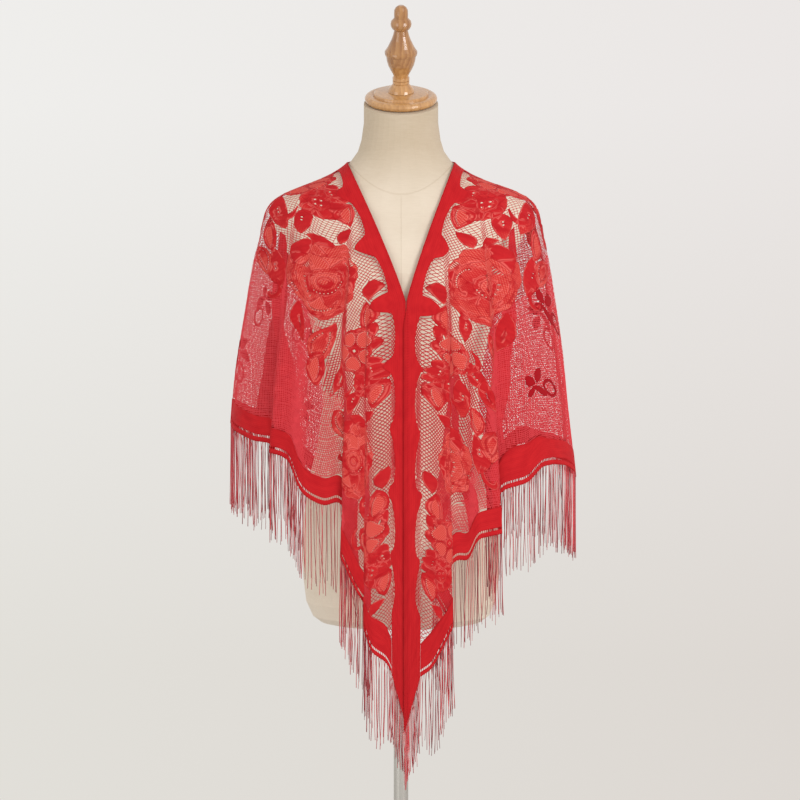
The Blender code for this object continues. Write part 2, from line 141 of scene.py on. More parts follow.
def unit(vectors):
    """The same directions, each with length 1."""
    return vectors / np.linalg.norm(vectors, axis=-1, keepdims=True)


def outwards(side, around, height):
    """The level direction out of the drape there."""
    x = side * np.sin(around) / ring["half_width"](height)
    y = -np.cos(around) / depth_of(around, height)
    return unit(np.stack([x, y, 0 * x], axis=-1))


print("the drape's rings run from", DRAPE["height"].min(), "to", DRAPE["height"].max(), "m")

# %% [markdown]
# ## The neckline, the hem and the pleats
#
# The long edge of the shawl runs up the V of the front, past the neck and on to the nape. The hem
# is the line that shows most: it steps up wherever the cloth lies over in a pleat. Each pleat is
# one row: where its edge lies, how much cloth is tucked behind it, and how far the hem rises on
# the way. Cloth simulation would find pleats of its own. These are placed one by one instead, so
# that the steps of the hem land where they belong.

# %% The neckline and the hem
LEFT, RIGHT = -1, 1
NECKLINE = ("low", "side", "nape", "in_front")
NECK_EDGE, NECK_MIDDLE, NECK_BORDER = (
    dict(zip(NECKLINE, np.array(row) * MM))
    for row in [(1270, 1468, 1488, 0), (1268, 1461.5, 1479, 10), (1266, 1455, 1470, 20)]
)
NECK_BOW = 1.14  # the V's sides bow inwards a little
OPENING, OPENING_GAP = 7 * MM, 1 * MM
TIP_HEIGHT = 680 * MM
HEM_BAND = 34 * MM
HEM = ("across", "height", "out")
HEM_LEFT = [
    (13, 751, 0), (19, 767, 1), (29, 773, 2), (43, 783, 5), (64, 866, -3), (75, 893, 3),
    (96, 988, -5), (108, 984, -2), (124, 991, 2), (138, 1001, 4), (147, 1020, 5), (154, 1046, 5),
    (168, 1053, 4), (178, 1055, 4), (195, 1070, -3), (208, 1071, 0), (229, 1080, 2),
]
HEM_RIGHT = [
    (27, 747, 0), (43, 758, 3), (62, 796, 5), (85, 909, -4), (97, 908, 0), (104, 938, 3),
    (130, 943, 4), (153, 1007, -4), (179, 1014, 1), (197, 1036, 4), (215, 1038, 2),
    (237, 1034, -1),
]
SIDE_LEFT, SIDE_RIGHT = 1091 * MM, 1013 * MM
PLEAT = ("edge", "tuck", "low", "high", "space")
PLEATS_LEFT = [(54, 14, 819, 854, 4.5), (86, 27, 915, 992, 5), (186, 8, 1056, 1069, 3.5)]
PLEATS_RIGHT = [(74, 31, 817, 909, 5), (142, 22, 945, 1004, 5)]
BACK = ("around", "height", "out")
BACK_LEFT = [
    (100, 1089, 4), (111, 1078, -5), (122, 1071, 6), (133, 1062, -6), (143, 1022, 7),
    (153, 980, -6), (163, 944, 7), (172, 918, -3),
]
BACK_RIGHT = [
    (101, 1020, -4), (112, 1032, 6), (123, 1040, -6), (134, 1044, 7), (144, 1014, -6),
    (154, 975, 6), (164, 940, -6), (173, 915, 3),
]
BACK_POINT = 905
FOLD_TOP = 1385 * MM  # where the folds begin
PLEAT_START = 0.3  # the share of a fold's growth after which its cloth lies over
PLEAT_SHARE = 0.15  # of the tucked cloth's width, kept where the pleat has run out above
OUT_WEIGHT = 0.4  # of the way in and out, when columns are shared out along the hem
print("pleats", len(PLEATS_LEFT), "left", len(PLEATS_RIGHT), "right")

# %% [markdown]
# The neckline's curve is worked out from its three heights, and each pleat's hidden cloth from its
# row: the hem goes back behind the pleat's edge, under it, and out again.


# %% The neckline's curve and the pleats' cloth
def neckline(side, line, along):
    """A long edge of the neck band: 0 to 1 up the V to the side of the neck, then to the nape."""
    low, level, nape, in_front = (line[name] for name in NECKLINE)
    start = side * OPENING + OPENING_GAP / 2 + in_front
    share = np.clip(along, 0, 1)
    height = low + (level - low) * share
    reach = start + (ring["half_width"](level) - start) * share**NECK_BOW
    ratio = np.clip(reach / ring["half_width"](height), -1, 1)
    behind = np.clip(along - 1, 0, 1) * math.pi / 2
    around = np.where(along <= 1, np.arcsin(ratio), math.pi / 2 + behind)
    return around, height + (nape - level) * np.sin(behind) ** 2


def with_pleats(hem, pleats):
    """The hem's rows with each pleat's hidden cloth between them: back behind its edge and out."""
    rows, waiting = [], [dict(zip(PLEAT, row)) for row in pleats]
    for across, height, out in hem:
        while waiting and waiting[0]["edge"] < across:
            edge, tuck, low, high, space = (waiting[0][name] for name in PLEAT)
            half, rise = space / 2, high - low
            rows += [
                (edge - half, low, space, True),
                (edge, low, half, True),
                (edge - half, low, 0, True),
                (edge - tuck + half, low + rise / 2, 0, True),
                (edge - tuck, low + rise / 2, -half, True),
                (edge - tuck + half, low + rise / 2, -space, True),
                (edge + half, high, -space, True),
            ]
            waiting.pop(0)
        rows.append((across, height, out, False))
    return rows


print("rows with pleats", len(with_pleats(HEM_LEFT, PLEATS_LEFT)), "on the left")

# %% [markdown]
# ## From tables to one fine surface
#
# Columns run down the cloth from the neckline to the hem, four millimetres apart. Each column
# keeps its own place in its pleat, and a short running mean rounds the pleat's corners into bends.


# %% The columns
COLUMN_STEP = 4 * MM
BACK_COLUMNS = 100  # for each half of the back
ROUNDING = np.array([1, 2, 3, 2, 1]) / 9  # a running mean over five columns
NAMES = ("around", "height", "out", "shift")


def rounded(values):
    """A running mean that keeps the first and last values in place."""
    padded = np.concatenate([values[:1], values[:1], values, values[-1:], values[-1:]])
    padded[:2] = 2 * values[0] - values[2:0:-1]
    padded[-2:] = 2 * values[-1] - values[-2:-4:-1]
    return np.convolve(padded, ROUNDING, "valid")


def front_columns(hem, pleats, side_height):
    """Each front column's place round the form, and where the hem lies there."""
    width = ring["half_width"](side_height)
    rows = with_pleats(hem, pleats) + [(width / MM, side_height / MM, 0, False)]
    tucked = np.array([row[-1] for row in rows])
    hems = table(HEM, [row[:-1] for row in rows])
    across = hems["across"]
    steps = np.abs(np.diff(across)) + OUT_WEIGHT * np.abs(np.diff(hems["out"]))
    steps *= np.where(tucked[1:] & tucked[:-1], PLEAT_SHARE, 1)
    base = np.concatenate([[0], np.cumsum(steps)])
    base = across[0] + (across[-1] - across[0]) * base / base[-1]
    turn = np.arcsin(np.clip(across / width, -1, 1))
    depth = ring["front"](side_height) * np.cos(turn) + hems["out"]
    reach = np.hypot(np.diff(across), np.diff(depth))
    parts = np.ceil(reach / COLUMN_STEP).astype(int)
    at = np.concatenate([i + np.arange(n) / n for i, n in enumerate(parts)] + [[len(parts)]])
    whole = np.arange(len(rows))
    real = width * np.sin(np.interp(at, whole, turn))
    shift = rounded(np.interp(at, whole, across - base))
    height, out = (rounded(np.interp(at, whole, hems[name])) for name in ("height", "out"))
    around = np.arcsin(np.clip((rounded(real) - shift) / ring["half_width"](height), -1, 1))
    around[-1] = math.pi / 2
    return dict(zip(NAMES, (around, height, out, shift)))


def back_columns(rows, side_height):
    """The same for one side of the back, from the side of the shoulder to the centre."""
    rows = table(BACK, [(90, side_height / MM, 0), *rows, (180, BACK_POINT, 2)])
    degrees = rows["around"] / MM
    places = np.linspace(90, 180, BACK_COLUMNS)
    height, out = (smooth_curve(degrees, rows[name])(places) for name in ("height", "out"))
    return dict(zip(NAMES, (np.radians(places), height, out, 0 * places)))


TABLES = {
    LEFT: (HEM_LEFT, PLEATS_LEFT, BACK_LEFT, SIDE_LEFT),
    RIGHT: (HEM_RIGHT, PLEATS_RIGHT, BACK_RIGHT, SIDE_RIGHT),
}
sides = {
    side: (front_columns(hem, pleats, height), back_columns(back, height))
    for side, (hem, pleats, back, height) in TABLES.items()
}
front_count = {side: len(columns[0]["around"]) for side, columns in sides.items()}
print("front columns", front_count, "and", BACK_COLUMNS, "for each half of the back")

# %% [markdown]
# ## Down each column
#
# A column starts on the neck band's border and ends on the hem. Its points are spread evenly by
# length, because the lace is laid out flat first and a knitted cloth keeps its lengths as it hangs.

# %% The grid of the whole cloth
LACE_ROWS, HEM_ROWS = 90, 6
FINE = 400  # steps along the neckline, and half as many down each column


def fall(side, column, height):
    """Points on one column at the heights given, folds and all."""
    drop = (column["top"] - height) / (column["top"] - column["height"])
    around = column["start"] + (column["around"] - column["start"]) * drop
    grown = eased((FOLD_TOP - height) / (FOLD_TOP - column["height"]))
    laid_over = eased((grown - PLEAT_START) / (1 - PLEAT_START))
    stands_out = (column["out"] * grown)[:, None]
    points = on_ring(side, around, height) + outwards(side, around, height) * stands_out
    points[:, 0] += side * column["shift"] * laid_over
    return points


def arc(points):
    """The length along a polyline at each of its points."""
    return np.concatenate([[0], np.cumsum(np.linalg.norm(np.diff(points, axis=0), axis=1))])


def by_length(points, count):
    """So many points along a polyline, evenly spread over its length."""
    lengths = arc(points)
    at = np.linspace(0, 1, count) * lengths[-1]
    return np.stack([np.interp(at, lengths, axis) for axis in points.T], axis=-1)


def one_side(side):
    """Half of the shawl as three grids: the lace, the hem band and the neck band's edge."""
    front, back = sides[side]
    joined = {name: np.concatenate([front[name], back[name][1:]]) for name in NAMES}
    along = np.linspace(0, 2, FINE)
    border_around, border_height = neckline(side, NECK_BORDER, along)
    lean = border_around[0] - joined["around"][0]
    start = joined["around"] + lean * np.clip(1 - joined["around"] / (math.pi / 2), 0, 1)
    place = np.interp(start, border_around, along)
    top = np.interp(place, along, border_height)
    lace, hem = [], []
    for i in range(len(start)):
        column = {name: joined[name][i] for name in NAMES} | {"start": start[i], "top": top[i]}
        low = column["height"]
        path = fall(side, column, np.linspace(top[i], low + HEM_BAND, FINE // 2))
        lace.append(by_length(path, LACE_ROWS + 1))
        hem.append(fall(side, column, np.linspace(low + HEM_BAND, low, HEM_ROWS + 1)))
    edge = [on_ring(side, *neckline(side, line, place)) for line in (NECK_EDGE, NECK_MIDDLE)]
    return np.array(lace), np.array(hem), np.stack(edge, axis=1)


halves = {side: one_side(side) for side in (LEFT, RIGHT)}
lace_grid, hem_grid, neck_grid = (
    np.concatenate([halves[LEFT][k], halves[RIGHT][k][-2::-1]]) for k in range(3)
)
cuts = (front_count[LEFT] - 1, len(lace_grid) - front_count[RIGHT])  # where the back starts, ends
nape = len(halves[LEFT][0]) - 1


def facing(grid):
    """The direction square to the cloth, outwards, at each point of a grid."""
    return unit(np.cross(np.gradient(grid, axis=0), np.gradient(grid, axis=1)))


print("grid", lace_grid.shape, "hem", hem_grid.shape, "neck", neck_grid.shape)

# %% [markdown]
# ## Creases
#
# Between its pleats the cloth has soft ridges where it drags from the neck and the shoulders. Noise
# would spread them evenly, which cloth never does. So each row of the table is one ridge: where it
# starts and ends, across the columns and down them, how wide it is and how high it stands. No two
# are alike, and the back has its own.

# %% Soft ridges placed one by one
CREASES = [  # from which column and share of the fall, to which, columns wide, millimetres high
    (10, 0.04, 16, 0.55, 3.0, 2.4), (30, 0.10, 40, 0.80, 4.0, 3.0),
    (52, 0.02, 47, 0.45, 2.6, 2.2), (71, 0.20, 80, 1.10, 4.5, 3.6),
    (92, 0.00, 88, 0.50, 3.0, 1.6), (104, 0.05, 112, 0.95, 3.4, 3.4),
    (124, 0.30, 121, 1.15, 3.6, 4.2), (141, 0.02, 150, 0.60, 3.0, 2.4),
    (158, 0.35, 154, 1.20, 4.2, 4.6), (176, 0.00, 170, 0.55, 3.4, 2.0),
    (189, 0.25, 194, 1.05, 4.4, 4.2), (207, 0.00, 209, 0.40, 3.2, 2.6),
    (222, 0.30, 218, 1.15, 4.6, 4.4), (240, 0.02, 247, 0.62, 3.0, 2.2),
    (259, 0.28, 256, 1.10, 4.0, 4.4), (278, 0.04, 270, 0.70, 3.2, 2.6),
    (296, 0.22, 301, 1.15, 4.4, 4.0), (318, 0.03, 310, 0.90, 3.2, 3.0),
    (334, 0.00, 338, 0.48, 2.8, 1.8), (352, 0.18, 343, 1.05, 4.4, 3.6),
    (374, 0.03, 380, 0.50, 2.6, 2.2), (395, 0.12, 386, 0.85, 4.0, 3.0),
    (418, 0.05, 411, 0.60, 3.0, 2.4),
]


SWAY, WINDINGS = 1.2, 5  # by how many columns a ridge sways, and how often
RISES, FADES = 0.25, 0.30  # the shares of its length over which it rises and fades
WIDENS = 0.6  # of its width, at its start and again on the way down


def ridges(grid, first, last):
    """How far each point of a grid stands out, its rows lying between two shares of the fall."""
    down = np.linspace(first, last, grid.shape[1])[None]
    column = np.arange(grid.shape[0])[:, None]
    stands = np.zeros(grid.shape[:2])
    for start, top, end, low, width, height in CREASES:
        along = (down - top) / (low - top)
        middle = start + (end - start) * np.clip(along, 0, 1)
        middle = middle + SWAY * np.sin(WINDINGS * along + start)
        fade = eased(along / RISES) * eased((1 - along) / FADES)
        spread = width * (WIDENS + WIDENS * np.clip(along, 0, 1))
        stands += height * MM * fade * np.exp(-(((column - middle) / spread) ** 2))
    return stands


HEM_SHARE = 1.07  # the hem band's lower edge, as a share of the lace's fall
lace_grid = lace_grid + facing(lace_grid) * ridges(lace_grid, 0, 1)[..., None]
hem_grid = hem_grid + facing(hem_grid) * ridges(hem_grid, 1, HEM_SHARE)[..., None]
lace_out, hem_out = (facing(grid) for grid in (lace_grid, hem_grid))
print("ridges", len(CREASES), "up to", round(ridges(lace_grid, 0, 1).max() / MM, 1), "mm high")

# %% [markdown]
# ## The flat cut
#
# The lace was knitted flat, so its flowers are laid out flat: u runs along the long edge from the
# nape, negative to the left, and v runs away from the neck band. Every point of the flat triangle
# has its column and its place down that column. To carry a flower over, the columns are searched
# by halves until the one that passes through the point is found.

# %% Flat layout and its inverse
columns_at = np.arange(len(lace_grid))
start_u = arc(lace_grid[:, 0])
start_u -= start_u[nape]
hem_arc = arc(lace_grid[:, -1])
front_edge = [arc(lace_grid[i])[-1] for i in (0, -1)]
HALF_LENGTH = (np.ptp(start_u) + sum(front_edge)) / 2
DEPTH = arc(lace_grid[nape])[-1]
from_right = hem_arc[-1] - hem_arc
share = np.where(columns_at < nape, hem_arc / hem_arc[nape], from_right / from_right[nape])
hem_u = np.where(columns_at < nape, -1, 1) * HALF_LENGTH * (1 - share)
hem_v = DEPTH * share
sizes = {"long edge": 2 * HALF_LENGTH, "depth": DEPTH, "hem": hem_arc[-1]}
print({name: round(size, 3) for name, size in sizes.items()})
print("the V starts at u", start_u[[0, -1]].round(3))


HALVINGS = 26


def column_lines(at):
    """Where a column starts on the neck band's border, and where it ends on the hem: u, u and v."""
    return [np.interp(at, columns_at, line) for line in (start_u, hem_u, hem_v)]


def find_column(u, v):
    """The column through a flat point, and how far down it the point lies, from 0 to 1."""
    low, high = np.zeros_like(u), np.full_like(u, columns_at[-1])
    for _ in range(HALVINGS):
        at = (low + high) / 2
        su, hu, hv = column_lines(at)
        right = (hu - su) * v - hv * (u - su) < 0
        low, high = np.where(right, at, low), np.where(right, high, at)
    at = (low + high) / 2
    su, hu, hv = column_lines(at)
    down = ((u - su) * (hu - su) + v * hv) / ((hu - su) ** 2 + hv**2)
    return at, down


INSIDE = 1.001  # the last place that still has a neighbour to read, counted from the grid's end


def between(grid, at, row):
    """A grid read between its points."""
    at, row = (np.clip(a, 0, size - INSIDE) for a, size in zip((at, row), grid.shape))
    i, j = at.astype(int), row.astype(int)
    p, q = (at - i)[:, None], (row - j)[:, None]
    upper = grid[i, j] * (1 - p) + grid[i + 1, j] * p
    return upper * (1 - q) + (grid[i, j + 1] * (1 - p) + grid[i + 1, j + 1] * p) * q


near_middle = find_column(np.array([-0.3]), np.array([0.05]))[0]
print("a column near the middle of the left front:", near_middle.round(1))

# %% [markdown]
# ## The neck band's place
#
# The neck band is a plain strip from the edge of the V to the lace, 20 mm wide. It could be a thing
# of its own. But the net reaches into it between the band's cusps, so it takes part in the same
# flat layout, with v below nought.

# %% The neck band's plain strip
BAND_ROWS = 8
BAND_WIDTH = 20 * MM


def band_sections():
    """Cross-sections of the neck band, from the left tip over the nape to the right tip, each from
    the band's edge to the lace, and where each lies along the flat cut."""
    share = np.linspace(0, 1, BAND_ROWS)[:, None]
    fronts, places = [], []
    for side, column in ((LEFT, 0), (RIGHT, -1)):
        border = np.concatenate([lace_grid[column], hem_grid[column, 1:]])
        z, top, low = border[:, 2], border[0, 2], border[-1, 2]
        height = NECK_EDGE["low"] + (TIP_HEIGHT - NECK_EDGE["low"]) * (top - z) / (top - low)
        around = np.arcsin((side * OPENING + OPENING_GAP / 2) / ring["half_width"](height))
        edge = on_ring(side, around, height)
        fronts.append([e + (b - e) * share for e, b in zip(edge, border)])
        down = np.linspace(start_u[column], hem_u[column], LACE_ROWS + 1)
        places.append(np.concatenate([down, hem_u[column] + side * arc(hem_grid[column])[1:]]))
    middles = []
    for (edge, middle), border in zip(neck_grid, lace_grid[:, 0]):
        bow = 4 * share * (1 - share) * (middle - (edge + border) / 2)
        middles.append(edge + (border - edge) * share + bow)
    sections = fronts[0][:0:-1] + middles + fronts[1][1:]
    return np.array(sections), np.concatenate([places[0][:0:-1], start_u, places[1][1:]])


sections, section_u = band_sections()
section_out = -facing(sections)
section_out *= np.sign((section_out[:, :, :2] * sections[:, :, :2]).sum(axis=2).mean())


def on_strip(u, v):
    """Points of the neck band's strip and the way out there: v is 0 at the lace and -20 mm at the
    band's edge, and goes on past that edge in the same plane."""
    place = np.interp(u, section_u, np.arange(len(section_u)))
    row = (1 + v / BAND_WIDTH) * (BAND_ROWS - 1)
    points, out = between(sections, place, row), between(section_out, place, row)
    step = between(sections, place, 0 * u) - between(sections, place, 0 * u + 1)
    points += step * np.clip(-row, 0, None)[:, None]
    return points, unit(out)


def hung(u, v, lift=0.0):
    """Where flat points of the lace or the neck band hang, and which way is out there."""
    u, v = np.asarray(u, float), np.asarray(v, float)
    at, down = find_column(u, np.maximum(v, 0))
    points = between(lace_grid, at, down * LACE_ROWS)
    out = unit(between(lace_out, at, down * LACE_ROWS))
    on_band = v < 0
    points[on_band], out[on_band] = on_strip(u[on_band], v[on_band])
    return points + out * np.asarray(lift).reshape(-1, 1), out, at


print("neck band", round(np.ptp(section_u), 3), "m along its border")

# %% [markdown]
# ## Filled outlines
#
# The flowers are knitted so close that they look cut from one cloth, with eyelets left open in it.
# They could be joined with booleans, but those fail where two outlines run close together. Here all
# the outlines of a group are triangulated at once, and each small triangle is then kept or left
# open by the shape that lies highest there.

# %% Outlines
TINY = 1e-9


def inwards(loop, by):
    """A closed outline, turning the positive way, moved in by a distance."""
    along = np.roll(loop, -1, axis=0) - np.roll(loop, 1, axis=0)
    along /= np.maximum(np.linalg.norm(along, axis=1, keepdims=True), TINY)
    return loop + np.stack([-along[:, 1], along[:, 0]], axis=1) * by


def inside(points, loop):
    """Which points lie in a closed outline, counting the edges that a ray to the right crosses."""
    a, b = loop, np.roll(loop, -1, axis=0)
    x, y = points[:, :1], points[:, 1:]
    spans = (a[:, 1] > y) != (b[:, 1] > y)
    rise = np.where(b[:, 1] == a[:, 1], TINY, b[:, 1] - a[:, 1])
    crossing = a[:, 0] + (y - a[:, 1]) / rise * (b[:, 0] - a[:, 0])
    return (spans & (x < crossing)).sum(axis=1) % 2 == 1


def highest(points, outlines, layers):
    """The shape that lies on top at each point, or -1 where there is none."""
    best = np.full(len(points), -1)
    for i in np.argsort(layers):
        best[inside(points, outlines[i])] = i
    return best


square = np.array([(0, 0), (1, 0), (1, 1), (0, 1)])
print("inside a square:", inside(np.array([(0.5, 0.5), (2.0, 0.5)]), square))

# %% [markdown]
# The points inside a shape are spread in staggered rows, and the ones too near to an edge are left
# out, so that no triangle is a sliver. A rim of points just inside each edge lets the finish paint
# the dense last course of knitting there.

# %% Knitting a group of shapes
RIM = 1.5  # millimetres of dense knitting round a petal
FILL = 4.5  # millimetres between the points inside it
CLEAR = 1.0  # and from them to the nearest point of an edge or rim
BASE_SHADE, MID = 0.6, 0.6  # painted shade: how much lighter a petal's tip is and darker its base, and where along it its own tone lies
LATER = 1e-4  # in one layer, each shape lies this much over the one before it
MERGE = 1e-4  # millimetres: points nearer than this are one


def filling(edges, rims, outlines, layers):
    """Staggered points inside the shapes, clear of their edges and rims."""
    low, high = edges.min(axis=0), edges.max(axis=0)
    x, y = np.meshgrid(*(np.arange(a, b, FILL) for a, b in zip(low, high)))
    x[::2] += FILL / 2
    points = np.stack([x.ravel(), y.ravel()], axis=1)
    points = points[highest(points, outlines, layers) >= 0]
    for near in np.array_split(np.concatenate([edges, rims]), 8):
        if len(points):
            gaps = np.linalg.norm(points[:, None] - near[None], axis=2).min(axis=1)
            points = points[gaps > CLEAR]
    return points


def knitted(shapes):
    """One flat mesh of shapes that may overlap: points, triangles, density at rims, layer, tone
    with painted shade.

    A shape is its loops (an outline, then holes), its layer and its tone. The highest shape wins
    where several overlap, and a hole is open only where its own shape is the highest."""
    groups, levels, tones = zip(*shapes)
    loops = [loop for group in groups for loop in group]
    outlines = [group[0] for group in groups]
    layers, tones = np.array(levels) + LATER * np.arange(len(groups)), np.array(tones)
    rims = [inwards(outline, RIM) for outline in outlines]
    rims = np.concatenate([rim[inside(rim, outline)] for rim, outline in zip(rims, outlines)])
    edges = np.concatenate(loops)
    starts = np.cumsum([0] + [len(loop) for loop in loops])
    faces = [list(range(a, b)) for a, b in zip(starts[:-1], starts[1:])]
    given = np.concatenate([edges, rims, filling(edges, rims, outlines, layers)])
    made = geometry.delaunay_2d_cdt([Vector(p) for p in given.tolist()], [], faces, 1, MERGE)
    points, triangles = (np.array([item[:] for item in part]) for part in (made[0], made[2]))

    middles = points[triangles].mean(axis=1)
    top = highest(middles, outlines, layers)
    open_here = top < 0
    for i, group in enumerate(groups):
        for hole in group[1:]:
            open_here |= (top == i) & inside(middles, hole)
    triangles, top = triangles[~open_here], top[~open_here]

    layer, tone = np.zeros(len(points)), np.zeros(len(points))
    stalks = np.array([outline[0] for outline in outlines])
    reaches = np.array([np.linalg.norm(outline - outline[0], axis=1).max() for outline in outlines])
    order = np.argsort(layers[top])
    which = top[order]
    for corner in triangles[order].T:
        layer[corner] = np.floor(layers[which])
        # painted shade: each shape's tone falls towards its stalk and rises towards its tip
        out = np.linalg.norm(points[corner] - stalks[which], axis=1) / reaches[which]
        tone[corner] = tones[which] + BASE_SHADE * (out - MID)

    source = np.array([min(group) if group else -1 for group in made[3]])
    sizes = [sum(len(loop) for loop in group) for group in groups]
    owner = np.repeat(np.arange(len(groups)), sizes)
    on_edge = source < len(edges)
    own = (source >= 0) & on_edge
    above = highest(points, outlines, layers)
    hidden = np.zeros(len(points), bool)
    hidden[own] = layers[above[own]] > layers[owner[source[own]]] + 0.5
    dense = np.where(on_edge & ~hidden, 1.0, 0.0)
    used, triangles = np.unique(triangles, return_inverse=True)
    return points[used], triangles.reshape(-1, 3), dense[used], layer[used], tone[used]


print("rims", RIM, "mm wide, filled every", FILL, "mm")

# %% [markdown]
# ## Meshes that keep their flat cut
#
# Knitting runs straight in the flat cut and bends only where the cloth is hung. So each mesh
# carries its flat place as an attribute, and a pattern that reads it bends with the cloth. The same
# place makes the map, so that a maker who unfolds the mesh gets the cut back.

# %% A mesh and its cut
MARGIN = 0.002  # of the map's width, kept free round it


def mesh_object(name, points, faces, finish, flat=None, spread=0, smooth=True, **values):
    """A mesh with its flat cut as an attribute for the patterns and as its map. "spread" parts the
    points that share a place in the cut, so that every face has some width in the map."""
    mesh = bpy.data.meshes.new(name)
    mesh.from_pydata(np.asarray(points).tolist(), [], faces)
    if smooth:
        mesh.shade_smooth()
    made = bpy.data.objects.new(name, mesh)
    bpy.context.collection.objects.link(made)
    for material in finish if isinstance(finish, list) else [finish]:
        mesh.materials.append(material)
    if flat is not None:
        corners = np.empty(len(mesh.loops), int)
        mesh.loops.foreach_get("vertex_index", corners)
        place = flat[:, :2] + spread
        place = (place - place.min(axis=0)) / np.ptp(place, axis=0)
        place = MARGIN + (1 - 2 * MARGIN) * place
        mesh.uv_layers.new(name="OFBake").uv.foreach_set("vector", place[corners].ravel())
        layer = mesh.attributes.new("flat", "FLOAT_VECTOR", "POINT")
        layer.data.foreach_set("vector", (np.column_stack([flat, 0 * flat[:, 0]]) / MM).ravel())
    for key, value in values.items():
        mesh.attributes.new(key, "FLOAT", "POINT").data.foreach_set("value", value)
    return made


print("maps keep", MARGIN, "free on each side")

# %% [markdown]
# ## Threads
#
# A thread could be a curve with a round bevel, at a dozen or more triangles for each short length.
# There are thousands of them, so each is a closed strand with three sides: it costs six triangles a
# length and still catches the light on two of its faces.


# %% Strands
def strands(lines, outs, width, height):
    """Closed three-sided threads along many lines, as points and faces."""
    sizes = np.array([len(line) for line in lines])
    centre, out = np.concatenate(lines), np.concatenate(outs)
    ends = np.cumsum(sizes)
    first, last = ends - sizes, ends - 1
    along = np.empty_like(centre)
    along[1:-1] = centre[2:] - centre[:-2]
    along[first] = centre[first + 1] - centre[first]
    along[last] = centre[last] - centre[last - 1]
    side = np.cross(along, out)
    side *= (width / 2 / np.maximum(np.linalg.norm(side, axis=1), TINY))[:, None]
    rise = out * height[:, None]
    low, high = centre - rise / 3, centre + rise * 2 / 3
    points = np.stack([low + side, low - side, high], axis=1)
    going = np.ones(len(centre), bool)
    going[last] = False
    i = np.flatnonzero(going)[:, None] * 3
    walls = [i + np.array([[a, b, b + 3, a + 3]]) for a, b in ((0, 1), (1, 2), (2, 0))]
    caps = np.concatenate([first[:, None] * 3 + [2, 1, 0], last[:, None] * 3 + [0, 1, 2]])
    return points.reshape(-1, 3), np.concatenate(walls).tolist() + caps.tolist()


line, up = np.array([[(0, 0, 0), (1, 0, 0)]]), np.array([[(0, 0, 1), (0, 0, 1)]])
print("a strand of two points has", len(strands(line * MM, up, *np.ones((2, 2)))[1]), "faces")

# %% [markdown]
# ## Petals and holes
#
# Each shape is an outline in millimetres that starts at its stalk and points along x. It could be
# drawn point by point. Here a few sines give it, so that its length, breadth and notch can be set,
# and no two petals of a flower need be quite alike.


# %% Petals and holes
def turned(loops, angle, at=(0, 0)):
    """Loops turned about their stalk, then moved."""
    c, s = math.cos(angle), math.sin(angle)
    return [loop @ np.array([(c, s), (-s, c)]) + at for loop in loops]


def circle(count, radius):
    angles = np.arange(count) * (2 * math.pi / count)
    return np.stack([np.cos(angles), np.sin(angles)], axis=1) * radius


def oval(length, width, point=1.0, count=26):
    """A leaf's outline along +x from its stalk. Point over 1 makes its ends sharper."""
    t = np.linspace(0, 1, count // 2 + 1)
    half = width / 2 * np.sin(np.pi * t) ** point
    upper = np.stack([length * t, half], axis=1)
    return np.concatenate([upper * (1, -1), upper[-2:0:-1]])


NOTCH_WIDTH = 0.14  # as a share of half the way round a petal
BREADTH = 0.78  # the greatest value of the two sines below, which sets the petal's width


def petal(length, width, notch=0.0, count=32):
    """A petal that is widest past its middle, with a dip in its tip if it has a notch."""
    t = np.linspace(-1, 1, count)[:-1]
    angle = t * math.pi
    x = length * (0.5 + 0.5 * np.cos(angle)) - notch * np.exp(-((t / NOTCH_WIDTH) ** 2))
    y = width / 2 * np.sin(angle) * (0.5 + 0.5 * np.cos(angle / 2)) / BREADTH
    return np.stack([x, y], axis=1)


def eyelet(x, y, size, long=1.0, turn=0.0):
    """A small four-sided hole."""
    corners = np.array([(long, 0), (0, 1), (-long, 0), (0, -1)]) * size
    return turned([corners], turn, (x, y))[0]


def eyelets_on(radius, angles, size, long=1.0, turned_too=True):
    """Eyelets on a circle, at some angles."""
    places = [(radius * math.cos(a), radius * math.sin(a), a) for a in angles]
    return [eyelet(x, y, size, long, a if turned_too else 0.0) for x, y, a in places]


def beads_along(loop, first, last, step=3.0, size=0.8):
    """A row of eyelets along part of an outline, between two shares of its length."""
    points = np.concatenate([loop, loop[:1]])
    lengths = arc(points)
    at = np.arange(first * lengths[-1], last * lengths[-1], step)
    return [eyelet(*(np.interp(s, lengths, axis) for axis in points.T), size) for s in at]


print("a petal's points", len(petal(10, 8)), "and its beads", len(beads_along(petal(10, 8), 0, 1)))

# %% [markdown]
# ## Leaves
#
# Three kinds of leaf fill the border: solid ones with a slit or a few eyelets along the rib, ones
# with a sheer middle and beads along one side, and ones with a row of beads inside each edge. A
# straight leaf looks stamped, so each is bowed to one side.


# %% Leaves
def bent(loops, length, bend):
    """Loops of a shape along +x, bowed sideways by a share of its length."""
    bow = [np.outer(4 * bend * loop[:, 0] * (1 - loop[:, 0] / length), (0, 1)) for loop in loops]
    return [loop + way for loop, way in zip(loops, bow)]


def leaf(length, width, eyes=-1, bend=0.08, tone=0.2):
    """A solid leaf with a few eyelets along its rib, or a slit there if "eyes" is negative."""
    loops = [oval(length, width, 0.8)]
    if eyes < 0:
        loops.append(oval(length * 0.34, 1.5, 0.7, 10) + (length * 0.38, 0))
    loops += [eyelet(length * (0.4 + 0.1 * i), 0.4 * (-1) ** i, 1.15) for i in range(eyes)]
    return [(bent(loops, length, bend), 0, tone)]


def open_leaf(length, width, bend=0.1, first=0.05, last=0.5):
    """A leaf whose middle is sheer, with beads along one side of it."""
    inner = oval(length * 0.66, width * 0.5, 0.7, 22) + (length * 0.17, 0)
    solid = bent([oval(length, width, 0.75)], length, bend)
    sheer = bent([inner], length, bend) + bent(beads_along(inner, first, last), length, bend)
    return [(solid, 0, 0.1), (sheer, 1, 1.2)]


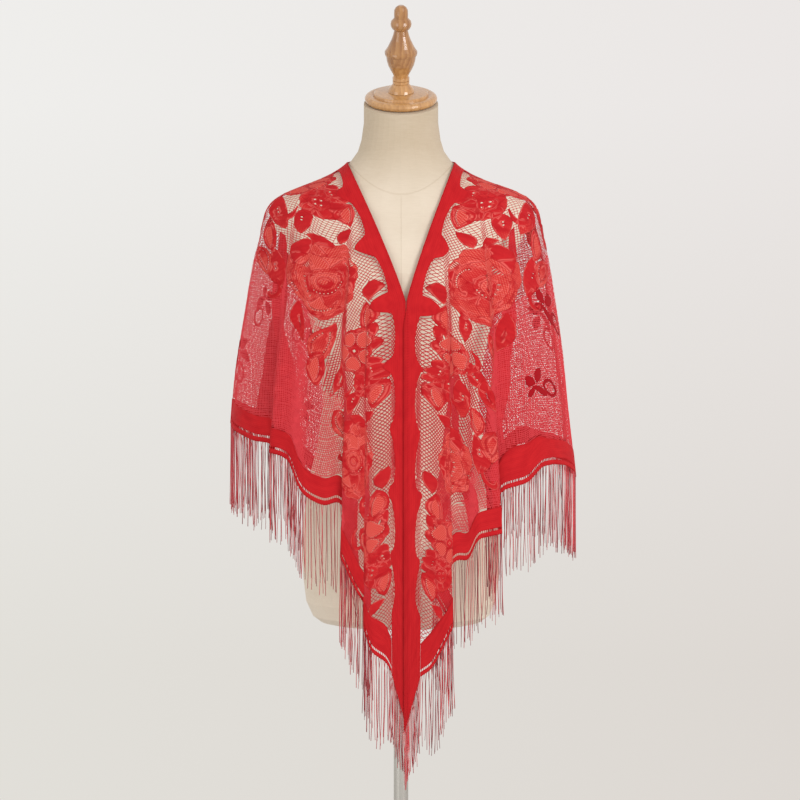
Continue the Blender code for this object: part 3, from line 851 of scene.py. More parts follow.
def beaded_leaf(length, width, bend=0.1):
    """A leaf with a row of eyelets inside each edge."""
    rows = beads_along(oval(length * 0.7, width * 0.58, 0.8) + (length * 0.15, 0), 0.05, 0.95, 3.4)
    return [(bent([oval(length, width, 0.78), *rows], length, bend), 0, 0.55)]


print("beads in a leaf", len(beaded_leaf(62, 31)[0][0]) - 1)

# %% [markdown]
# ## Flowers
#
# The small blossoms are five petals round a heart. The rose has two rings of wide petals, a dome at
# one side and a coiled heart of rings. Each petal gets its own length and tone from a sine of its
# number, which is uneven to the eye and yet the same on each run.


# %% Flowers
def blossom(radius, petals=5, eyes=4):
    """A small solid flower with a few eyelets at its heart."""
    made = []
    for i in range(petals):
        length = radius * (1 + 0.12 * math.sin(3.7 * i))
        outline = petal(length, length * 1.05, 1.6)
        made.append((turned([outline], 2 * math.pi * i / petals), 0, 0.15))
    heart = oval(radius * 0.9, radius * 0.9, 0.55, 18) - (radius * 0.45, 0)
    holes = eyelets_on(radius * 0.2, np.arange(eyes) * 1.57 + 0.5, 1.2, turned_too=False)
    return made + [([heart, *holes], 1, 0.2)]


def open_blossom(radius, petals=5):
    """A flower whose petals are sheer inside a solid outline and edged with beads."""
    made = []
    for i in range(petals):
        length = radius * (1 + 0.12 * math.sin(2.9 * i))
        inner = petal(length * 0.64, length * 0.62, 2.2, 22) + (length * 0.24, 0)
        angle = 2 * math.pi * i / petals
        made.append((turned([petal(length, length * 1.04, 2.6)], angle), 0, 0.1))
        made.append((turned([inner, *beads_along(inner, 0.05, 0.95, 2.8)], angle), 1, 1.3))
    return made + [([circle(16, radius * 0.2), eyelet(0, 0, radius * 0.07)], 2, 0.1)]


RINGS = [(9, 1.0, 0.70, 5.0, 0.3), (6, 0.74, 0.74, 2.5, 0.6)]  # petals, reach, breadth, notch, tone
COILS = ((0.32, 0.3), (0.22, 0.9), (0.13, 0.2), (0.06, 0.9))  # reach and tone


def openings(layer, i, length, breadth):
    """The eyelets of the rose's few open petals: bars across a petal, or beads inside its edge."""
    if layer == 0 and i in (2, 6):
        return [eyelet(length * 0.84, y * 3.0, 0.6, 5) for y in (-2, -1, 0, 1, 2)]
    if layer == 1 and i == 2:
        return [eyelet(length * 0.7, y * 3.4, 0.6, 6) for y in (-2.5, -1.5, -0.5, 0.5, 1.5, 2.5)]
    if layer == 1 and i in (0, 4):
        return beads_along(petal(length * 0.9, breadth * 0.74, 1), 0.3, 0.72, 3.0)
    return []


def rose(radius):
    """Two rings of wide petals, a dome of a petal at one side and a coiled heart of rings."""
    made = []
    for layer, (count, reach, broad, notch, tone) in enumerate(RINGS):
        for i in range(count):
            length = radius * reach * (1 + 0.1 * math.sin(5.1 * i + 2 * layer))
            breadth = radius * broad
            loops = [petal(length, breadth, notch), *openings(layer, i, length, breadth)]
            angle = 2 * math.pi * (i + 0.4 * layer) / count
            made.append((turned(loops, angle), layer, tone + 0.4 * math.sin(4.3 * i + layer)))
    fan = eyelets_on(radius * 0.47, np.linspace(-0.9, 0.3, 6), 0.5, 5)
    made.append((turned([petal(radius * 0.66, radius * 0.66), *fan], 1.5), 2, 0.5))
    made.append((turned([petal(radius * 0.46, radius * 0.36)], 1.5), 3, 0.1))
    around = radius * 0.28
    beads = eyelets_on(around, np.linspace(-1.1, 0.9, max(2, int(2 * around / 3))), 0.8)
    for k, (size, tone) in enumerate(COILS):
        made.append(([circle(26, radius * size), *(beads if k == 0 else [])], 4 + k, tone))
    return made


print("a rose has", len(rose(50)), "petals and rings")

# %% [markdown]
# ## Stalks and sprigs
#
# Thick stalks end in a hook, as yarn does that turns back on itself. The field beyond the border
# has one small motif only, a stalk with leaves and a bud, knitted closer and darker than the rest.
# A curve with a bevel would make a stalk round; an outline keeps it as flat as the petals.

# %% Stalks and sprigs
STALK_POINTS = 24
SPRIG_SCALE = 1.2
CLOSE = -1  # the tone that the finish takes as close, dark knitting


def tendril(length, curl, width=6.5):
    """A thick stalk that tapers and ends in a hook."""
    t = np.linspace(0, 1, STALK_POINTS)
    heading = curl * t**2
    steps = np.stack([np.cos(heading), np.sin(heading)], axis=1) * length / (STALK_POINTS - 1)
    spine = np.cumsum(steps, axis=0)
    across = np.stack([-np.sin(heading), np.cos(heading)], axis=1)
    half = (width / 2 * (0.35 + 0.75 * np.sin(np.pi * t**1.4) + 0.1 * t))[:, None]
    return [([np.concatenate([spine - across * half, (spine + across * half)[::-1]])], 0, 0.1)]


def sprig():
    """The field's small motif: a thick stalk with two leaves and an open bud, knitted close."""
    bud = [([oval(28, 19, 0.6), oval(20, 12, 0.6, 20) + (4, 0)], 0, CLOSE)]
    parts = [
        (leaf(19, 11, 0), 2.3, (0, 2)),
        (leaf(20, 11, 0), 0.9, (2, 2)),
        (bud, -0.1, (13, -1)),
        (tendril(26, 0.35, 7), -0.55, (-6, 1)),
        (leaf(14, 8, 0), 3.5, (-2, -1)),
    ]
    placed = [turned(loops, angle, at) for shape, angle, at in parts for loops, *_ in shape]
    return [([loop * SPRIG_SCALE for loop in loops], 0, CLOSE) for loops in placed]


print("a sprig has", len(sprig()), "parts")

# %% [markdown]
# ## Where the flowers lie
#
# The border repeats every 265 mm along the neck band: a rose, a small flower above it and leaves
# between. The field beyond it has a sprig here and there. Both halves are mirrored at the nape,
# but for two sprigs that the left front's pleats would swallow.

# %% The border and the field
REPEAT, FIRST_ROSE = 265.0, 335.0
UNIT = [  # what, how far along from the rose, how far out, and the way it points
    (rose(57), 0, 62, 0.2),
    (blossom(23), -106, 24, 0.5),
    (leaf(52, 25, 3, 0.06), -128, 62, 0.3),
    (leaf(42, 19, 2, 0.1), -96, 34, 0.75),
    (open_leaf(38, 18), -104, 1, 0.25),
    (leaf(28, 13, 0), -64, 10, 0.8),
    (tendril(46, 3.4), -104, 46, 0.75),
    (open_leaf(44, 20, -0.1, 0.5, 0.95), 46, 12, 0.2),
    (leaf(40, 18, 2, 0.1), 46, 42, 0.35),
    (open_blossom(33), 112, 36, 0.3),
    (blossom(17, 5, 2), 143, 8, 0.1),
    (leaf(34, 15, -1), 78, 4, 0.3),
    (beaded_leaf(62, 31), 60, 76, 0.75),
    (leaf(56, 26, -1), 16, 112, 0.25),
    (open_leaf(50, 25), 86, 104, 0.5),
    (leaf(48, 22, 3, -0.08), 108, 66, 0.9),
    (tendril(46, -3.4), 92, 66, 1.0),
    (leaf(56, 27, 2), -64, 104, 0.45),
    (beaded_leaf(48, 24, -0.1), -88, 128, 0.15),
    (open_leaf(44, 21, 0.1), -98, 86, 0.6),
    (tendril(40, 3.8), -28, 128, 0.2),
    (leaf(40, 19, -1, -0.1), 124, 92, 0.7),
    (leaf(30, 14, 0), -46, 34, 2.2),
    (leaf(30, 14, 0), 18, 2, 0.2),
]
SPRIGS = [  # how far along, how far out, and the way it points
    (308, 154, 2.1), (412, 200, 2.45), (216, 214, 0.8), (136, 262, 0.5), (34, 256, 0.1),
    (70, 350, 0.4), (32, 450, 0.2), (168, 372, 0.9), (300, 268, 1.3), (112, 466, 0.6),
]
HIDDEN_SPRIGS = 2  # the first two of these, which the left front's pleats would swallow
print("the border's unit has", len(UNIT), "motifs, the field", len(SPRIGS), "sprigs a half")

# %% Laying them out
INTO_BAND = 4  # a shape may start this far inside the neck band, in millimetres
FIELD_END = 0.9  # sprigs keep this far from the hem, as a share of the way to it
long_mm, deep_mm = HALF_LENGTH / MM, DEPTH / MM
laid = []  # groups of shapes in flat millimetres


def lay(group, shape, u, v, turn, side):
    """Put a shape on one half of the flat cut, if all of it lies on the cloth."""
    for loops, layer, tone in shape:
        moved = turned(loops, turn, (u, v))
        if side < 0:
            moved = [loop[::-1] * (-1, 1) for loop in moved]
        along, out = moved[0].T
        on_cloth = (np.abs(along) / long_mm + out / deep_mm).max() < 1
        if on_cloth and out.min() > -INTO_BAND and side * along.mean() > 0:
            group.append((moved, layer, tone))


for side in (LEFT, RIGHT):
    for k in range(-1, 3):
        laid.append([])
        for shape, along, out, turn in UNIT:
            lay(laid[-1], shape, FIRST_ROSE + k * REPEAT + along, out, turn, side)
    for u, v, turn in SPRIGS[HIDDEN_SPRIGS if side == LEFT else 0 :]:
        if u / long_mm + v / deep_mm < FIELD_END:
            laid.append([])
            lay(laid[-1], sprig(), u, v, turn, side)
laid = [group for group in laid if group]
print("groups", len(laid), "shapes", sum(len(group) for group in laid))

# %% [markdown]
# ## The borders of the bands
#
# The neck band's inner border swells to rounded cusps, three to each repeat, and the hem band's
# border waves in the same way. Both are part of their bands, and the net stops under them.

# %% The borders of the bands
CUSP, SCALLOP = 302.0, REPEAT / 3  # the first cusp's place, and the way from one to the next
CUSP_RISE, CUSP_WIDTH = 12, 13
FOOT_RISE, FOOT_WIDTH = 3, 34  # the low swell that a cusp stands on
LOWER = 0.35  # by which share every other cusp is lower
FRONT_FROM, FRONT_WAY, FRONT_LOWER = 395, 50, 0.45  # down the front all cusps are lower
SHORT, SHORT_LEFT, SHORT_RIGHT = 4.5, 1.5, 4.5  # short of the lace, and the more down each front
TIP_FROM, TIP_WAY, TIP_SHORT = 30, 80, 0.3  # near the tips the band ends just short of the lace


def neck_border(u):
    """How far the neck band reaches past its strip into the lace, in millimetres, or how far short
    of the lace it stops. Down the front it is narrower and its cusps are low."""
    place = (np.abs(u) - CUSP) / SCALLOP
    from_cusp = np.abs(place - np.round(place)) * SCALLOP
    front = eased((np.abs(u) - FRONT_FROM) / FRONT_WAY)
    strong = (1 - LOWER * (np.round(place) % 2)) * (1 - FRONT_LOWER * front)
    least = -SHORT - front * np.where(u < 0, SHORT_LEFT, SHORT_RIGHT)
    cusp = strong * CUSP_RISE * np.exp(-((from_cusp / CUSP_WIDTH) ** 2))
    reach = least + cusp + FOOT_RISE * np.exp(-((from_cusp / FOOT_WIDTH) ** 2))
    inwards_of_tip = eased((long_mm - TIP_FROM - np.abs(u)) / TIP_WAY)
    return reach * inwards_of_tip - TIP_SHORT * (1 - inwards_of_tip)


HEM_SWELLS = [(352, 9, 21)]  # the column, how many columns wide, how high in millimetres
HEM_LEAST, HEM_RISE = 1.5, 19  # how far the hem band reaches up at least, and the more near a tip
NEAR_TIP = 0.42  # the share of the hem's half over which it does
SHARPER = 1.3
WAVES, SLOW_WAVES = 46, 17  # a quick wave, made uneven by a slow one


def hem_border(at):
    """How far the hem band reaches up into the lace at a column."""
    s = np.interp(at, columns_at, hem_v) / DEPTH
    near_tip = np.clip(1 - s / NEAR_TIP, 0, 1)
    wave = (0.5 + 0.5 * np.sin(s * WAVES + 0.6 * np.sin(s * SLOW_WAVES))) ** SHARPER
    reach = HEM_LEAST + HEM_RISE * near_tip**SHARPER * (0.35 + 0.65 * wave)
    for column, width, height in HEM_SWELLS:
        reach = reach + height * np.exp(-(((at - column) / width) ** 2))
    return reach


at_cusp = neck_border(np.array([CUSP, CUSP + SCALLOP / 2]))
print("neck border", at_cusp.round(1), "mm at a cusp and between cusps")

# %% [markdown]
# ## Finishes
#
# A finish could be wired up node by node, which is hard to read back. Here a pattern is written as
# a formula: "Wire" lets a node's output take part in sums, and "Finish" is one material, or the
# world, whose sockets take either a plain value or a wire.


# %% Wires
class Wire:
    """A node's output that takes part in sums."""

    def __init__(self, finish, socket):
        self.finish, self.socket = finish, socket

    def math(self, operation, *others, clamp=False):
        settings = {"operation": operation, "use_clamp": clamp}
        return self.finish.node("ShaderNodeMath", settings, self, *others)

    def __add__(self, other):
        return self.math("ADD", other)

    def __sub__(self, other):
        return self.math("SUBTRACT", other)

    def __rsub__(self, other):
        return (self * -1) + other

    def __mul__(self, other):
        return self.math("MULTIPLY", other)

    __radd__, __rmul__ = __add__, __mul__

    def clamped(self):
        return self.math("MULTIPLY", 1.0, clamp=True)

    def wave(self, period):
        """A sine between 0 and 1 that repeats every period."""
        return (self * (2 * math.pi / period)).math("SINE") * 0.5 + 0.5

    def step(self, low, high):
        """0 up to low, 1 from high on, smooth between."""
        limits = {"From Min": low, "From Max": high}
        settings = {"interpolation_type": "SMOOTHSTEP"}
        return self.finish.node("ShaderNodeMapRange", settings, self, **limits)


print("sums of wires:", [name for name in ("__add__", "__sub__", "__mul__") if name in vars(Wire)])

# %% [markdown]
# Every node is made by one method of a finish, which sets the node's own settings first and then
# plugs its sockets. The other methods are the few patterns that the finishes below share.


# %% A finish being made
class Finish:
    """A material, or the world, being made. Its constants are set on the shader's own sockets."""

    def __init__(self, name, kind="materials", shader="Principled BSDF", **constants):
        self.material = getattr(bpy.data, kind).new(name)
        self.material.use_nodes = True
        self.nodes, self.links = self.material.node_tree.nodes, self.material.node_tree.links
        self.shader = self.nodes[shader]
        self.set(**constants)

    def set(self, **values):
        for key, value in values.items():
            self.plug(self.shader.inputs[key.replace("_", " ")], value)
        return self

    def plug(self, socket, value):
        """Link a wire to a socket, or set the socket's value. None leaves it as it is."""
        if isinstance(value, Wire):
            self.links.new(value.socket, socket)
        elif value is not None:
            size = len(socket.default_value) if hasattr(socket.default_value, "__len__") else 0
            socket.default_value = (*value, 1)[:size] if size else value

    def node(self, kind, settings, *inputs, out=0, **named):
        made = self.nodes.new(kind)
        for key, value in settings.items():
            setattr(made, key, value)
        for socket, value in zip(made.inputs, inputs):
            self.plug(socket, value)
        for key, value in named.items():
            self.plug(made.inputs[key.replace("_", " ")], value)
        return Wire(self, made.outputs[out])

    def read(self, name, out="Fac"):
        return self.node("ShaderNodeAttribute", {"attribute_name": name}, out=out)

    def parts(self, at):
        """x, y and z of a place."""
        apart = self.node("ShaderNodeSeparateXYZ", {}, at).socket.node
        return [Wire(self, socket) for socket in apart.outputs]

    def place(self, name=None):
        """A place in millimetres and its x, y and z: on the object, or of a named attribute."""
        if name:
            at = self.read(name, "Vector")
        else:
            at = self.node("ShaderNodeTexCoord", {}, out="Object")
            at = self.node("ShaderNodeVectorMath", {"operation": "SCALE"}, at, Scale=1 / MM)
        return at, self.parts(at)

    def noise(self, at, size, detail=2.0, stretch=(1, 1, 1)):
        """Soft noise about 0.5, in blots of the size given in millimetres."""
        if stretch != (1, 1, 1):
            at = self.node("ShaderNodeVectorMath", {"operation": "MULTIPLY"}, at, stretch)
        return self.node("ShaderNodeTexNoise", {}, Vector=at, Scale=1 / size, Detail=detail)

    def mix(self, share, first, second, blend="MIX"):
        """Two colours mixed. The node's sockets between share and colours are for other kinds."""
        settings = {"data_type": "RGBA", "blend_type": blend}
        return self.node("ShaderNodeMix", settings, share, *[None] * 5, first, second, out=2)

    def paint(self, tone, dark, light):
        """A base colour between a dark and a light one."""
        return self.set(Base_Color=self.mix(tone, dark, light))

    def bump(self, height, depth):
        """Bump of the depth given in millimetres, for a height from 0 to 1."""
        limits = {"Strength": 1.0, "Distance": depth * MM}
        return self.set(Normal=self.node("ShaderNodeBump", {}, Height=height, **limits))


print("patterns:", [name for name in vars(Finish) if name in ("noise", "mix", "paint", "bump")])

# %% [markdown]
# ## Close knitting
#
# Flowers, bands and tucked cloth are all knitted close: ribs of small loops, in a dye that is a
# little uneven. A woven or printed look would need an image. Here waves along the flat cut make the
# ribs and loops, and noise that is stretched along the ribs makes streaks.

# %% Close knitting
CLOTH = {
    "Roughness": 0.78,
    "Sheen_Weight": 0.03,
    "Sheen_Roughness": 0.4,
    "Specular_IOR_Level": 0.1,
}
STREAK = 0.18  # how much longer than wide a streak is, turned round


def knit(name, wale, course, turned_ribs=False):
    """Close knitting whose ribs and loops repeat every so many millimetres: the finish, its place,
    that place's parts, the height of the knitting and the tone of its dye."""
    made = Finish(name, **CLOTH)
    at, (x, y, _) = made.place("flat")
    across, along = (y, x) if turned_ribs else (x, y)
    ribs = across.wave(wale)
    loops = (along + ribs * (course / 2)).wave(course)
    patches = made.noise(at, 17, 4)
    streaks = made.noise(at, 5, 3, (STREAK, 1, 1) if turned_ribs else (1, STREAK, 1))
    grain = ribs * 0.55 + loops * 0.45
    tone = (grain * 0.35 + patches * 1.0 + streaks * 1.1 - 0.78).clamped()
    return made, at, (x, y), grain, tone


band_knit, _, (x, y), grain, tone = knit("band_knit", 2.6, 1.7, turned_ribs=True)
# A row of open stitches runs along the neck band's edge
ladder = x.wave(3.4) * y.step(-20.5, -19.5) * (1 - y.step(-17.5, -16.5))
band_knit.paint((tone - ladder * 0.5).clamped(), (0.44, 0.008, 0.013), (0.58, 0.016, 0.020))
band_knit.bump(grain * 0.8 - ladder * 0.5 + 0.3, 0.35)

fold_knit, *_, grain, tone = knit("folded_lace", 1.7, 1.4)
fold_knit.paint(tone, (0.38, 0.006, 0.012), (0.60, 0.026, 0.030))
fold_knit.bump(grain, 0.25)
print("close finishes", band_knit.material.name, fold_knit.material.name)

# %% [markdown]
# ## The flowers' finish
#
# The petals differ in how close they are knitted: some are solid, some so open that light comes
# through as a small mesh, and rims are dense and dark. Each shape carries its own tone, with
# painted shade that darkens it towards its base, and each edge its density as attributes, so one
# material serves all and needs no image.

# %% The flowers' finish
DENSE, LIT, SHEER = (0.42, 0.008, 0.013), (0.60, 0.019, 0.023), (0.70, 0.15, 0.11)
DARK, PALE, RIM_RED = (0.36, 0.004, 0.010), (0.82, 0.17, 0.145), (0.42, 0.007, 0.012)
SHEER_MESH = 2.2  # the period of the small mesh in sheer petals, in millimetres

flower_knit, at, (x, y), grain, tone = knit("lace_flowers", 1.3, 1.1)
# the tone read here carries painted shade: petals come out darker towards their bases, through
# DARK, and lighter and more sheer towards their tips
own, density = flower_knit.read("tone"), flower_knit.read("dense")
right, up = x * 0.66, y * 0.75
mesh = (right + up).wave(SHEER_MESH).math("MAXIMUM", (right - up).wave(SHEER_MESH)).step(0.62, 0.9)
sheer = (own + tone * 0.5).step(0.4, 1.1) * 0.9
solid, open_mesh = flower_knit.mix(tone, DENSE, LIT), flower_knit.mix(mesh, SHEER, LIT)
petals = flower_knit.mix(sheer, solid, open_mesh)
petals = flower_knit.mix((own * -1).step(0.1, 0.6), petals, DARK)
lit = own.step(-0.6, -0.3)
edge, line = density.step(0.55, 0.95), density.step(0.1, 0.5)
shine = line * lit * flower_knit.noise(at, 14, 1).step(0.42, 0.56) * 0.55
petals = flower_knit.mix(shine, petals, PALE)
flower_knit.paint(edge * lit * 0.75, petals, RIM_RED)
flower_knit.bump(grain, 0.25)
print("nodes in the flowers' finish", len(flower_knit.nodes))

# %% [markdown]
# ## Thread
#
# The net and the fringe are of one yarn, but each thread took the dye a little differently, and
# loose threads shine more than knitted ones. The share of the tone that goes from thread to thread
# comes from an attribute, the rest from noise.


# %% Thread
def thread(name, dark, light, roughness, sheen, gloss, each):
    """Thread whose twist shows as fine slanting lines and whose dye varies a little, in blots or,
    by the share "each", from thread to thread."""
    made = Finish(name, Roughness=roughness, Sheen_Weight=sheen, Specular_IOR_Level=gloss)
    at, (x, y, z) = made.place()
    twist = (x + y + z).wave(1.3)
    dye = made.noise(at, 9, 2) * (1 - each) + made.read("dye") * each
    made.paint((dye * 1.1 + twist * 0.25 - 0.2).clamped(), dark, light)
    return made.bump(twist, 0.08).material


net_thread = thread("net_thread", (0.38, 0.010, 0.016), (0.80, 0.065, 0.080), 0.75, 0.05, 0.15, 0.6)
fringe_thread = thread(
    "fringe_thread", (0.17, 0.003, 0.010), (0.82, 0.075, 0.090), 0.5, 0.2, 0.35, 0.85
)
print("thread finishes", net_thread.name, fringe_thread.name)

# %% [markdown]
# ## Where the net may run
#
# The threads stop just under the flowers' rims and the bands' borders. Cutting every thread at
# every outline would be slow. A map of the flat cut with one square to the millimetre says instead
# which places are covered.

# %% The covered places
UNDER = 2.0  # a thread runs this far under a flower, in millimetres
SQUARE = 1.0  # of the map of covered places
LOWEST = -12.0  # the map starts this far inside the neck band
NEAR_HEM = 0.16  # the share of the way in from the hem in which the hem band may cover a place
WIDE = 6  # holes that are wider than this, in millimetres, show the net

corner = np.array((-long_mm, LOWEST))
cover = np.zeros((int((deep_mm - LOWEST) / SQUARE) + 2, int(2 * long_mm / SQUARE) + 2), bool)
across, out = (np.arange(size) * SQUARE for size in cover.shape[::-1])
u, v = np.meshgrid(across - long_mm, out + LOWEST)
cover |= v < neck_border(u) - UNDER
inner = 1 - np.abs(u) / long_mm - np.maximum(v, 0) / deep_mm
near = (inner > 0) & (inner < NEAR_HEM)
at, down = find_column(u[near] * MM, np.maximum(v[near], 0) * MM)
lengths = np.linalg.norm(np.diff(lace_grid, axis=1), axis=2).sum(axis=1) / MM
up = (1 - down) * np.interp(at, columns_at, lengths)
cover[near] |= up < hem_border(at) - UNDER
for group in laid:
    for (outline, *holes), *_ in group:
        first = np.maximum((outline.min(axis=0) - corner) / SQUARE, 0).astype(int)
        last = ((outline.max(axis=0) - corner) / SQUARE).astype(int) + 2
        here = (slice(first[1], last[1]), slice(first[0], last[0]))
        places = np.stack([u[here].ravel(), v[here].ravel()], axis=1)
        hit = inside(places, inwards(outline, UNDER)) & inside(places, outline)
        for hole in holes:
            if np.ptp(hole[:, 0]) > WIDE:
                hit &= ~inside(places, hole)
        cover[here] |= hit.reshape(u[here].shape)


def covered(u, v):
    """Whether flat places, in millimetres, are covered."""
    i = np.clip(((v - LOWEST) / SQUARE + 0.5).astype(int), 0, cover.shape[0] - 1)
    j = np.clip(((u + long_mm) / SQUARE + 0.5).astype(int), 0, cover.shape[1] - 1)
    return cover[i, j]


print("covered", int(cover.sum() * SQUARE**2), "square millimetres")

# %% [markdown]
# ## The net
#
# Two families of slanting threads cross in the flat cut: a coarse net among the flowers and a fine
# mesh in the field beyond. An image of a net would look flat from near by, and real knitted loops
# would cost far more triangles. Down the fronts the cells near the neck band are smaller.

# %% Where the threads run
# Spacing, step, degrees, and how uneven: the fine mesh is the less regular one
COARSE, FINE_MESH = (3.5, 5.5, 41.0, 0.02), (2.6, 7.0, 38.0, 0.17)
BORDER, BORDER_WAVE = 132.0, 14.0  # how far out the coarse net reaches, in millimetres
NEARER, NEARER_FROM, NEARER_WAY = 26, 200, 90  # down the fronts it reaches less far
RIPPLE, RIPPLE_WAY = 5, 61
MEET = 2  # the coarse and the fine mesh lie over each other by this much
# How far along the neck band, and how many millimetres the net's cells are drawn in there
DRAWN_IN = np.array([(180, 0), (290, 10), (400, 13), (480, 21), (610, 21), (720, 0)]).T
DRAWN_REACH, DRAWN_MOST = 50.0, 1.3  # how far out this nearly fades, and its limit in the band
chance = np.random.default_rng(8338)


def field_line(u):
    """How far from the neck band the coarse net gives way to the fine mesh."""
    nearer = NEARER * eased((np.abs(u) - NEARER_FROM) / NEARER_WAY)
    wave = BORDER_WAVE * np.sin(u * (2 * math.pi / REPEAT) + 0.8)
    return BORDER - nearer + wave + RIPPLE * np.sin(u * (2 * math.pi / RIPPLE_WAY))


def net_runs(spacing, step, degrees, uneven, keep):
    """Runs of flat points along both families of threads, where "keep" lets them be."""
    reach = long_mm + deep_mm
    for slope in (degrees, 180 - degrees):
        a = math.radians(slope)
        along, across = np.array([(math.cos(a), math.sin(a)), (-math.sin(a), math.cos(a))])
        offsets = np.arange(-reach, reach, spacing)
        for offset in offsets + chance.uniform(-uneven, uneven, len(offsets)) * spacing:
            at = np.arange(-reach, reach, step)
            wander = chance.uniform(-uneven, uneven, len(at)) * spacing
            points = across * (offset + wander)[:, None] + along * at[:, None]
            drawn = np.interp(np.abs(points[:, 0]), *DRAWN_IN)
            points[:, 1] -= drawn * (1 - np.exp(-points[:, 1] / DRAWN_REACH).clip(0, DRAWN_MOST))
            u, v = points.T
            on_cloth = np.abs(u) / long_mm + np.maximum(v, 0) / deep_mm < 1.0
            points = points[(v > LOWEST + 1) & on_cloth]
            if len(points) > 1:
                good = keep(points[:, 0], points[:, 1])
                breaks = np.flatnonzero(np.diff(good.astype(int))) + 1
                for part in np.split(np.arange(len(points)), breaks):
                    if good[part[0]] and len(part) > 1:
                        yield points[part]


nets = {
    "coarse": net_runs(*COARSE, lambda u, v: (v < field_line(u) + MEET) & ~covered(u, v)),
    "fine": net_runs(*FINE_MESH, lambda u, v: (v > field_line(u) - MEET) & ~covered(u, v)),
}
nets = {name: list(runs) for name, runs in nets.items()}
for name, runs in nets.items():
    print(name, len(runs), "runs", 6 * sum(len(run) - 1 for run in runs), "triangles")

# %% [markdown]
# ## Hanging the net
#
# Each flat point is carried to where it hangs. The cloth is one piece in the hand and three
# stretches here, two fronts and a back, so every run goes to the stretch it lies in.

# %% The net, hung
STRETCHES = ("left", "back", "right")
ENDS = (0, *cuts, len(lace_grid) - 1)  # the columns where the stretches start and end
YARN = {"coarse": (0.62, 0.15), "fine": (1.12, 0.6)}  # width and dye: the fine mesh is lighter
# How far along the neck band, and how much stouter the coarse net is there than on the shoulders,
# as painted shade: stouter threads darken the net where the lace's shade would fall on the form
STOUTER_FOR_SHADE = np.array([(180, 0), (290, 0.6), (400, 0.6), (460, 1.35), (600, 1.35), (700, 0.45)]).T


def stretch_of(at):
    """The number of the stretch that a column lies in."""
    return (at > cuts[0]).astype(int) + (at > cuts[1])


KEPT = ("lines", "outs", "flat", "widths", "dye")
net_lines = {name: {key: [] for key in KEPT} for name in STRETCHES}
for kind, (width, dye) in YARN.items():
    every = np.concatenate(nets[kind])
    # painted shade: the coarse net's threads are stouter down the fronts to darken it there
    stouter = np.interp(np.abs(every[:, 0]), *STOUTER_FOR_SHADE) * (kind == "coarse")
    points, outs, at = hung(*(every.T * MM), 0)
    where = stretch_of(at)
    sizes = [len(run) for run in nets[kind]]
    ends = np.cumsum(sizes)
    for start, end in zip(ends - sizes, ends):
        breaks = np.flatnonzero(np.diff(where[start:end])) + start + 1
        for a, b in zip([start, *breaks], [*breaks, end]):
            b = min(b + 1, end)
            if b - a > 1:
                widths = width * MM * (1 + stouter[a:b])
                dyes = np.full(3 * (b - a), dye)
                values = (points[a:b], outs[a:b], every[a:b] * MM, widths, dyes)
                for key, value in zip(KEPT, values):
                    net_lines[STRETCHES[where[a]]][key].append(value)
print("runs of net", {name: len(group["lines"]) for name, group in net_lines.items()})

# %% [markdown]
# ## Sheets with two sides
#
# A sheet without thickness has no edge to catch the light. A Solidify modifier could give it one,
# but both its sides would share one place in the map. So each flat piece gets its second face and a
# wall along every open edge here, and the two sides lie a little apart in the map.

# %% Closed sheets
# How far apart in the map: the two sides of a sheet, and the three sides of a thread
SIDES_APART = np.array([(0, 0), (0.5, 0.5)]) * MM
NET_SPREAD = np.array([(-0.3, -0.8), (-0.3, 0.8), (0.6, 0)]) * MM
FRINGE_SPREAD = np.array([(-0.6, 0), (0.6, 0), (0, 0.3)]) * MM


def thickened(points, out, faces, thickness):
    """A sheet as a closed shell: both faces, and a wall along every open edge."""
    faces, count = np.asarray(faces), len(points)
    half = unit(out) * thickness / 2
    edges = np.concatenate([faces[:, [i - 1, i]] for i in range(faces.shape[1])])
    found = np.unique(np.sort(edges, axis=1), axis=0, return_index=True, return_counts=True)
    a, b = edges[found[1][found[2] == 1]].T
    walls = np.stack([b, a, a + count, b + count], axis=1)
    shell = np.concatenate([points + half, points - half])
    return shell, faces.tolist() + (faces[:, ::-1] + count).tolist() + walls.tolist()


def sheet_object(name, points, out, faces, thickness, finish, flat):
    """A sheet with both its sides, which share their flat cut."""
    shell, faces = thickened(points, out, faces, thickness)
    print(name, len(faces), "faces")
    apart = np.repeat(SIDES_APART, len(flat), axis=0)
    return mesh_object(name, shell, faces, finish.material, np.tile(flat, (2, 1)), apart)


def sheet_faces(columns, rows, keep=None):
    """The four-sided faces of a grid of points, or those that "keep" names."""
    i, j = np.meshgrid(np.arange(columns - 1), np.arange(rows - 1), indexing="ij")
    if keep is not None:
        i, j = i[keep], j[keep]
    corner = (i * rows + j).ravel()
    return np.stack([corner, corner + rows, corner + rows + 1, corner + 1], axis=1).tolist()


print("a sheet of 3 by 3 points has", len(sheet_faces(3, 3)), "faces")

# %% [markdown]
# ## The lace panels
#
# On the real shawl net and flowers are one fabric, so each stretch is one piece here too. The
# flowers lie a little in front of the net, and each layer of petals a little over the one before.

# %% The flowers, hung
LAYER, FLOWER_LIFT, FLOWER_THICK = 0.28 * MM, 0.45 * MM, 0.4 * MM
filled = {name: [] for name in STRETCHES}
for group in laid:
    flat, faces, dense, layer, tone = knitted(group)
    flat = flat * MM
    points, out, at = hung(*flat.T, FLOWER_LIFT + LAYER * layer)
    where = stretch_of(at[faces].mean(axis=1))
    for k, name in enumerate(STRETCHES):
        if (where == k).any():
            used, corners = np.unique(faces[where == k], return_inverse=True)
            values = (value[used] for value in (points, out, flat, dense, tone))
            filled[name].append((corners.reshape(-1, 3), *values))
print("groups of flowers", {name: len(parts) for name, parts in filled.items()})

